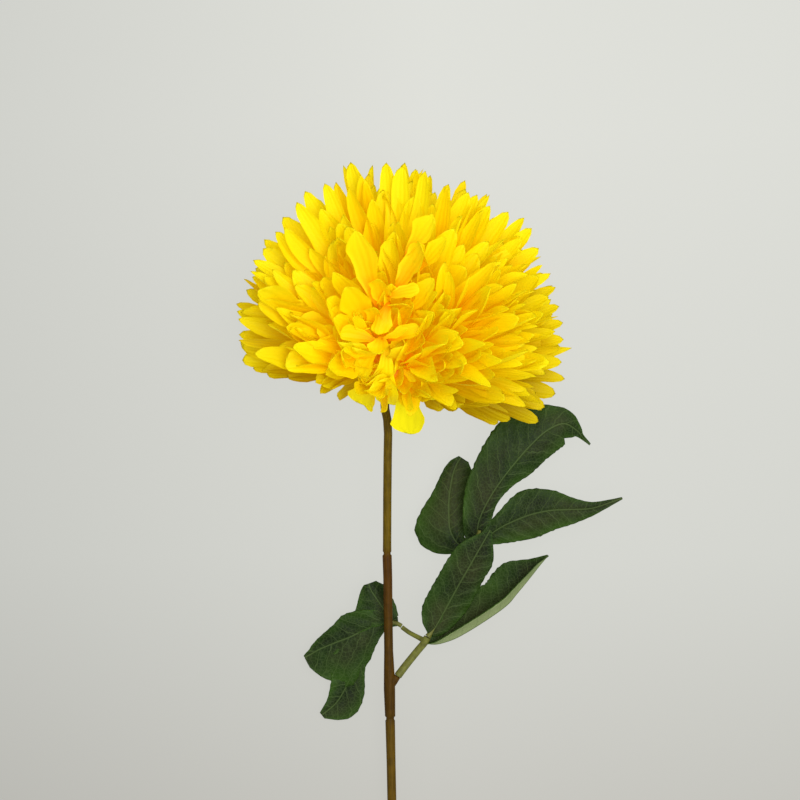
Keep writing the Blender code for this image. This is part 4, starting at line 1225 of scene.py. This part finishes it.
class FlowerBloomSettings(bpy.types.PropertyGroup):
    """Sizes and colours of the florets."""
    count: bpy.props.IntProperty(
        name="Florets", description="Florets on the whole spiral, of which the dome keeps most",
        default=980, min=50, max=1400)
    seed: bpy.props.IntProperty(
        name="Seed", description="Changes how one floret differs from the next", default=7)
    width_inner: length_property("Inner width", "Width of the short florets of the whorl", 15)
    width_outer: length_property("Outer width", "Width of the long outer florets", 8.3)
    thickness: length_property("Thickness", "Thickness of a floret in its middle", 0.5)
    root_colour: colour_property("Root", "Colour at the root of a floret", "F29600")
    throat_colour: colour_property("Throat", "Colour of the lower third of a floret", "F4BE00")
    middle_colour: colour_property("Middle", "Colour half way along a floret", "F3D200")
    tip_colour: colour_property("Upper part", "Colour towards the tip of a floret", "F3DE00")
    edge_colour: colour_property("Tip", "Colour of the very tip", "F1E808")
    # The gap colour is painted light: the florets glow in it
    gap_glow_colour: colour_property("Gaps", "Colour of the light in the gaps between florets", "FFC200")
    # The skirt colour is painted shade: the dull colour given to low florets in the dome's own shade
    skirt_shade_colour: colour_property("Skirt", "Colour of the older florets behind the bloom", "B39900")


class FlowerCalyxSettings(bpy.types.PropertyGroup):
    """Sizes and colours of the calyx."""
    rows: bpy.props.IntProperty(name="Rows", description="Rows of bracts", default=3, min=1, max=5)
    bracts: bpy.props.IntProperty(
        name="Bracts", description="Bracts in each row", default=15, min=5, max=30)
    length: length_property("Length", "Length of a bract of the longest row", 13)
    width: length_property("Width", "Width of a bract", 5.4)
    thickness: length_property("Thickness", "Thickness of a bract in its middle", 0.7)
    colour: colour_property("Bract", "Colour of a bract", "6F8433")
    deep_colour: colour_property("Root", "Colour of the cup and of the bracts' roots", "47601F")
    rim_colour: colour_property("Edge", "Colour of the dry tip of a bract", "A8A763")


class FlowerStemSettings(bpy.types.PropertyGroup):
    """Colours of the stem and the side shoot."""
    top_colour: colour_property("Under the bloom", "Colour of the stem just under the bloom", "564405")
    neck_colour: colour_property("Upper stem", "Colour above the first joint", "544305")
    red_colour: colour_property("Below the first joint", "Colour just below the first joint", "442A04")
    brown_colour: colour_property("Middle", "Colour between the joints", "3F2A03")
    foot_colour: colour_property("Foot", "Colour below the second joint", "4E3A06")
    shoot_colour: colour_property("Shoot", "Colour of the side stalk", "656829")
    shoot_deep_colour: colour_property("Shoot flecks", "Darker flecks of the side stalk", "4A4A1C")


class FlowerLeafSettings(bpy.types.PropertyGroup):
    """Sizes and colours of the leaves."""
    thickness: length_property("Thickness", "Thickness of the leaf blade", 0.5)
    vein_spacing: length_property("Vein spacing", "Distance between side veins along the midrib", 7)
    colour: colour_property("Upper face", "Main green of the upper face", "0F1A07")
    light_colour: colour_property("Upper face, light", "Lighter patches of the upper face", "1F330C")
    rim_colour: colour_property("Rim", "Fresher green of the blade's rim", "365812")
    # The wax colour is painted sheen: the grey of the softbox's reflection, laid on the upper face in
    # patches
    painted_sheen_colour: colour_property("Wax", "Grey of the thicker wax on the upper face", "34371D")
    vein_colour: colour_property("Veins", "Colour of the veins", "5E7340")
    under_colour: colour_property("Underside", "Main green of the underside", "6F7F4E")
    under_light_colour: colour_property("Underside, light", "Lighter patches of the underside", "8A9868")


class FlowerStageSettings(bpy.types.PropertyGroup):
    """The surface, the lights and the camera."""
    far_colour: colour_property("Far", "Colour of the surface beyond the bloom", "DFE0DA")
    middle_colour: colour_property("Middle", "Colour of the surface beside the stem", "D6D7D1")
    near_colour: colour_property("Near", "Colour of the surface at the cut end", "BCBAB3")
    glow: bpy.props.FloatProperty(
        name="Glow", description="Strength of the light within the surface", default=0.96)
    glow_share: bpy.props.FloatProperty(
        name="Glow share", description="Share of the surface's brightness that shadows can't dim",
        default=0.95, min=0, max=1, subtype="FACTOR")
    metres_per_pixel: bpy.props.FloatProperty(
        name="Scale", description="Metres that one picture element covers at the flower", default=0.00046,
        precision=6)
    lens: bpy.props.FloatProperty(name="Lens", description="Focal length in millimetres", default=150)
    key_power: bpy.props.FloatProperty(
        name="Softbox", description="Power of the softbox", default=15.7, unit="POWER")
    sky_colour: colour_property("Room colour", "Colour of the light all round", "FFFEFA")
    sky_strength: bpy.props.FloatProperty(
        name="Room light", description="Strength of the light all round", default=0.78)


class FLOWER_OT_bloom(bpy.types.Operator):
    """Makes the florets of the bloom and the pith they are rooted in"""
    bl_idname = "flower.bloom"
    bl_label = "Bloom"

    def execute(self, context):
        settings = context.scene.flower_bloom
        tree = blade_tree("floret_blades")
        finish = floret_material(settings)
        plan = floret_plan(settings)
        for name, least, most in FLORET_PIECES:
            part = [floret for floret in plan if least < floret["opened"] <= most]
            florets = blades(name, tree, part, FLORET_FACES_ALONG, settings.thickness, finish)
            dressed(florets, "bloom")
        core = turned("receptacle", RECEPTACLE_SECTION, pith_material(settings))
        dressed(core, "bloom")
        return {"FINISHED"}


class FLOWER_OT_calyx(bpy.types.Operator):
    """Makes the green cup behind the bloom with its rows of bracts"""
    bl_idname = "flower.calyx"
    bl_label = "Calyx"

    def execute(self, context):
        settings = context.scene.flower_calyx
        finish = bract_material(settings)
        dressed(turned("calyx_cup", CALYX_SECTION, finish), "calyx")
        bracts = blades(
            "calyx_bracts", blade_tree("bract_blades"), bract_plan(settings), BRACT_FACES_ALONG,
            settings.thickness, finish)
        dressed(bracts, "calyx")
        return {"FINISHED"}


class FLOWER_OT_stem(bpy.types.Operator):
    """Makes the stem with its joints and the peg of the side shoot"""
    bl_idname = "flower.stem"
    bl_label = "Stem"

    def execute(self, context):
        settings = context.scene.flower_stem
        shape = bmesh.new()
        stalk_rings(shape, divided(STEM, 2.5), 24, RIB_GRAIN)
        stalk_rings(shape, divided(PEG, 1.5), 20, 0.0)
        for vertex in shape.verts:
            vertex.co.z = max(vertex.co.z, 0)
        stem = mesh_object("stem_skin", shape, [stem_material(settings)])
        dressed(stem, "stem")
        return {"FINISHED"}


class FLOWER_OT_shoot(bpy.types.Operator):
    """Makes the stalk of the side shoot and its arm under the stem"""
    bl_idname = "flower.shoot"
    bl_label = "Side shoot"

    def execute(self, context):
        settings = context.scene.flower_stem
        shape = bmesh.new()
        stalk_rings(shape, flowed(STALK, 6), 20, RIB_GRAIN)
        stalk_rings(shape, flowed(STALK_ARM, 6), 16, 0.0)
        shoot = mesh_object("shoot_stalk", shape, [shoot_material(settings)])
        dressed(shoot, "leaf_branch")
        return {"FINISHED"}


class FLOWER_OT_leaves(bpy.types.Operator):
    """Makes the three lobed leaves with their petioles"""
    bl_idname = "flower.leaves"
    bl_label = "Leaves"

    def execute(self, context):
        settings = context.scene.flower_leaf
        top = leaf_material(
            "leaf_upper_face_painted_sheen", settings, settings.colour, settings.light_colour, settings.rim_colour,
            settings.painted_sheen_colour, 0.42)
        under = leaf_material(
            "matt_leaf_underside", settings, settings.under_colour, settings.under_light_colour,
            settings.under_light_colour, settings.under_light_colour, 0.6)
        finishes = [top, under, bpy.data.materials["young_shoot_skin"]]
        for number, (name, lobes, petiole) in enumerate((
                ("leaf_left", LEFT_LEAF, LEFT_PETIOLE),
                ("leaf_lower", LOWER_LEAF, LOWER_PETIOLE),
                ("leaf_upper", UPPER_LEAF, UPPER_PETIOLE))):
            make_leaf(name, lobes, petiole, settings, finishes, 10 * number)
        return {"FINISHED"}


class FLOWER_OT_stage(bpy.types.Operator):
    """Makes the pale surface, the lights and the camera that looks straight down"""
    bl_idname = "flower.stage"
    bl_label = "Stage"

    def execute(self, context):
        settings = context.scene.flower_stage
        shape = bmesh.new()
        bmesh.ops.create_grid(shape, x_segments=1, y_segments=1, size=SURFACE_HALF)
        paper = mesh_object("surface", shape, [surface_material(settings)])
        scale = settings.metres_per_pixel
        aim = Vector((AIM_PIXELS[0] * scale, AIM_PIXELS[1] * scale, 0)) + SHIFT
        camera = bpy.data.cameras.new("camera")
        camera.lens = settings.lens
        camera.sensor_width = SENSOR_WIDTH
        camera.clip_start = 0.05
        holder = bpy.data.objects.new("camera", camera)
        distance = settings.lens / SENSOR_WIDTH * PICTURE_WIDTH * scale
        holder.location = aim + Vector((0, 0, FLOWER_MIDDLE + distance))
        context.scene.collection.objects.link(holder)
        context.scene.camera = holder
        softbox = bpy.data.lights.new("softbox", "AREA")
        softbox.shape = "RECTANGLE"
        softbox.size, softbox.size_y = SOFTBOX_SIZE
        softbox.energy = settings.key_power
        lamp = bpy.data.objects.new("softbox", softbox)
        lamp.location = SOFTBOX_PLACE
        lamp.rotation_mode = "QUATERNION"
        lamp.rotation_quaternion = (lamp.location - Vector((0, 0, FLOWER_MIDDLE))).to_track_quat("Z", "Y")
        context.scene.collection.objects.link(lamp)
        world = bpy.data.worlds.new("room")
        context.scene.world = world
        world.use_nodes = True
        sky = world.node_tree.nodes["Background"]
        sky.inputs["Color"].default_value = (*settings.sky_colour, 1)
        sky.inputs["Strength"].default_value = settings.sky_strength
        context.scene.view_settings.view_transform = "Standard"
        return {"FINISHED"}


class FLOWER_PT_panel(bpy.types.Panel):
    """Lists the flower's settings and the operators that make its pieces"""
    bl_idname = "FLOWER_PT_panel"
    bl_label = "Pompon chrysanthemum"
    bl_space_type = "VIEW_3D"
    bl_region_type = "UI"
    bl_category = "Flower"

    def draw(self, context):
        scene = context.scene
        for title, settings, operators in (
                ("Bloom", scene.flower_bloom, ("flower.bloom",)),
                ("Calyx", scene.flower_calyx, ("flower.calyx",)),
                ("Stem and shoot", scene.flower_stem, ("flower.stem", "flower.shoot")),
                ("Leaves", scene.flower_leaf, ("flower.leaves",)),
                ("Stage", scene.flower_stage, ("flower.stage",))):
            box = self.layout.box()
            box.label(text=title)
            for name in settings.__annotations__:
                box.prop(settings, name)
            for operator in operators:
                box.operator(operator)


SETTINGS = (
    ("flower_bloom", FlowerBloomSettings),
    ("flower_calyx", FlowerCalyxSettings),
    ("flower_stem", FlowerStemSettings),
    ("flower_leaf", FlowerLeafSettings),
    ("flower_stage", FlowerStageSettings),
)
OPERATORS = (
    FLOWER_OT_bloom, FLOWER_OT_calyx, FLOWER_OT_stem, FLOWER_OT_shoot, FLOWER_OT_leaves, FLOWER_OT_stage,
)


def register():
    """Adds the settings, the operators and the panel to Blender."""
    for name, group in SETTINGS:
        bpy.utils.register_class(group)
        setattr(bpy.types.Scene, name, bpy.props.PointerProperty(type=group))
    for operator in OPERATORS:
        bpy.utils.register_class(operator)
    bpy.utils.register_class(FLOWER_PT_panel)


def unregister():
    """Takes them away again, in the opposite order."""
    bpy.utils.unregister_class(FLOWER_PT_panel)
    for operator in reversed(OPERATORS):
        bpy.utils.unregister_class(operator)
    for name, group in reversed(SETTINGS):
        delattr(bpy.types.Scene, name)
        bpy.utils.unregister_class(group)


def main():
    """Makes the whole flower and its stage."""
    register()
    bpy.ops.flower.stage()
    bpy.ops.flower.bloom()
    bpy.ops.flower.calyx()
    bpy.ops.flower.stem()
    bpy.ops.flower.shoot()
    bpy.ops.flower.leaves()


if __name__ == "__main__":
    main()
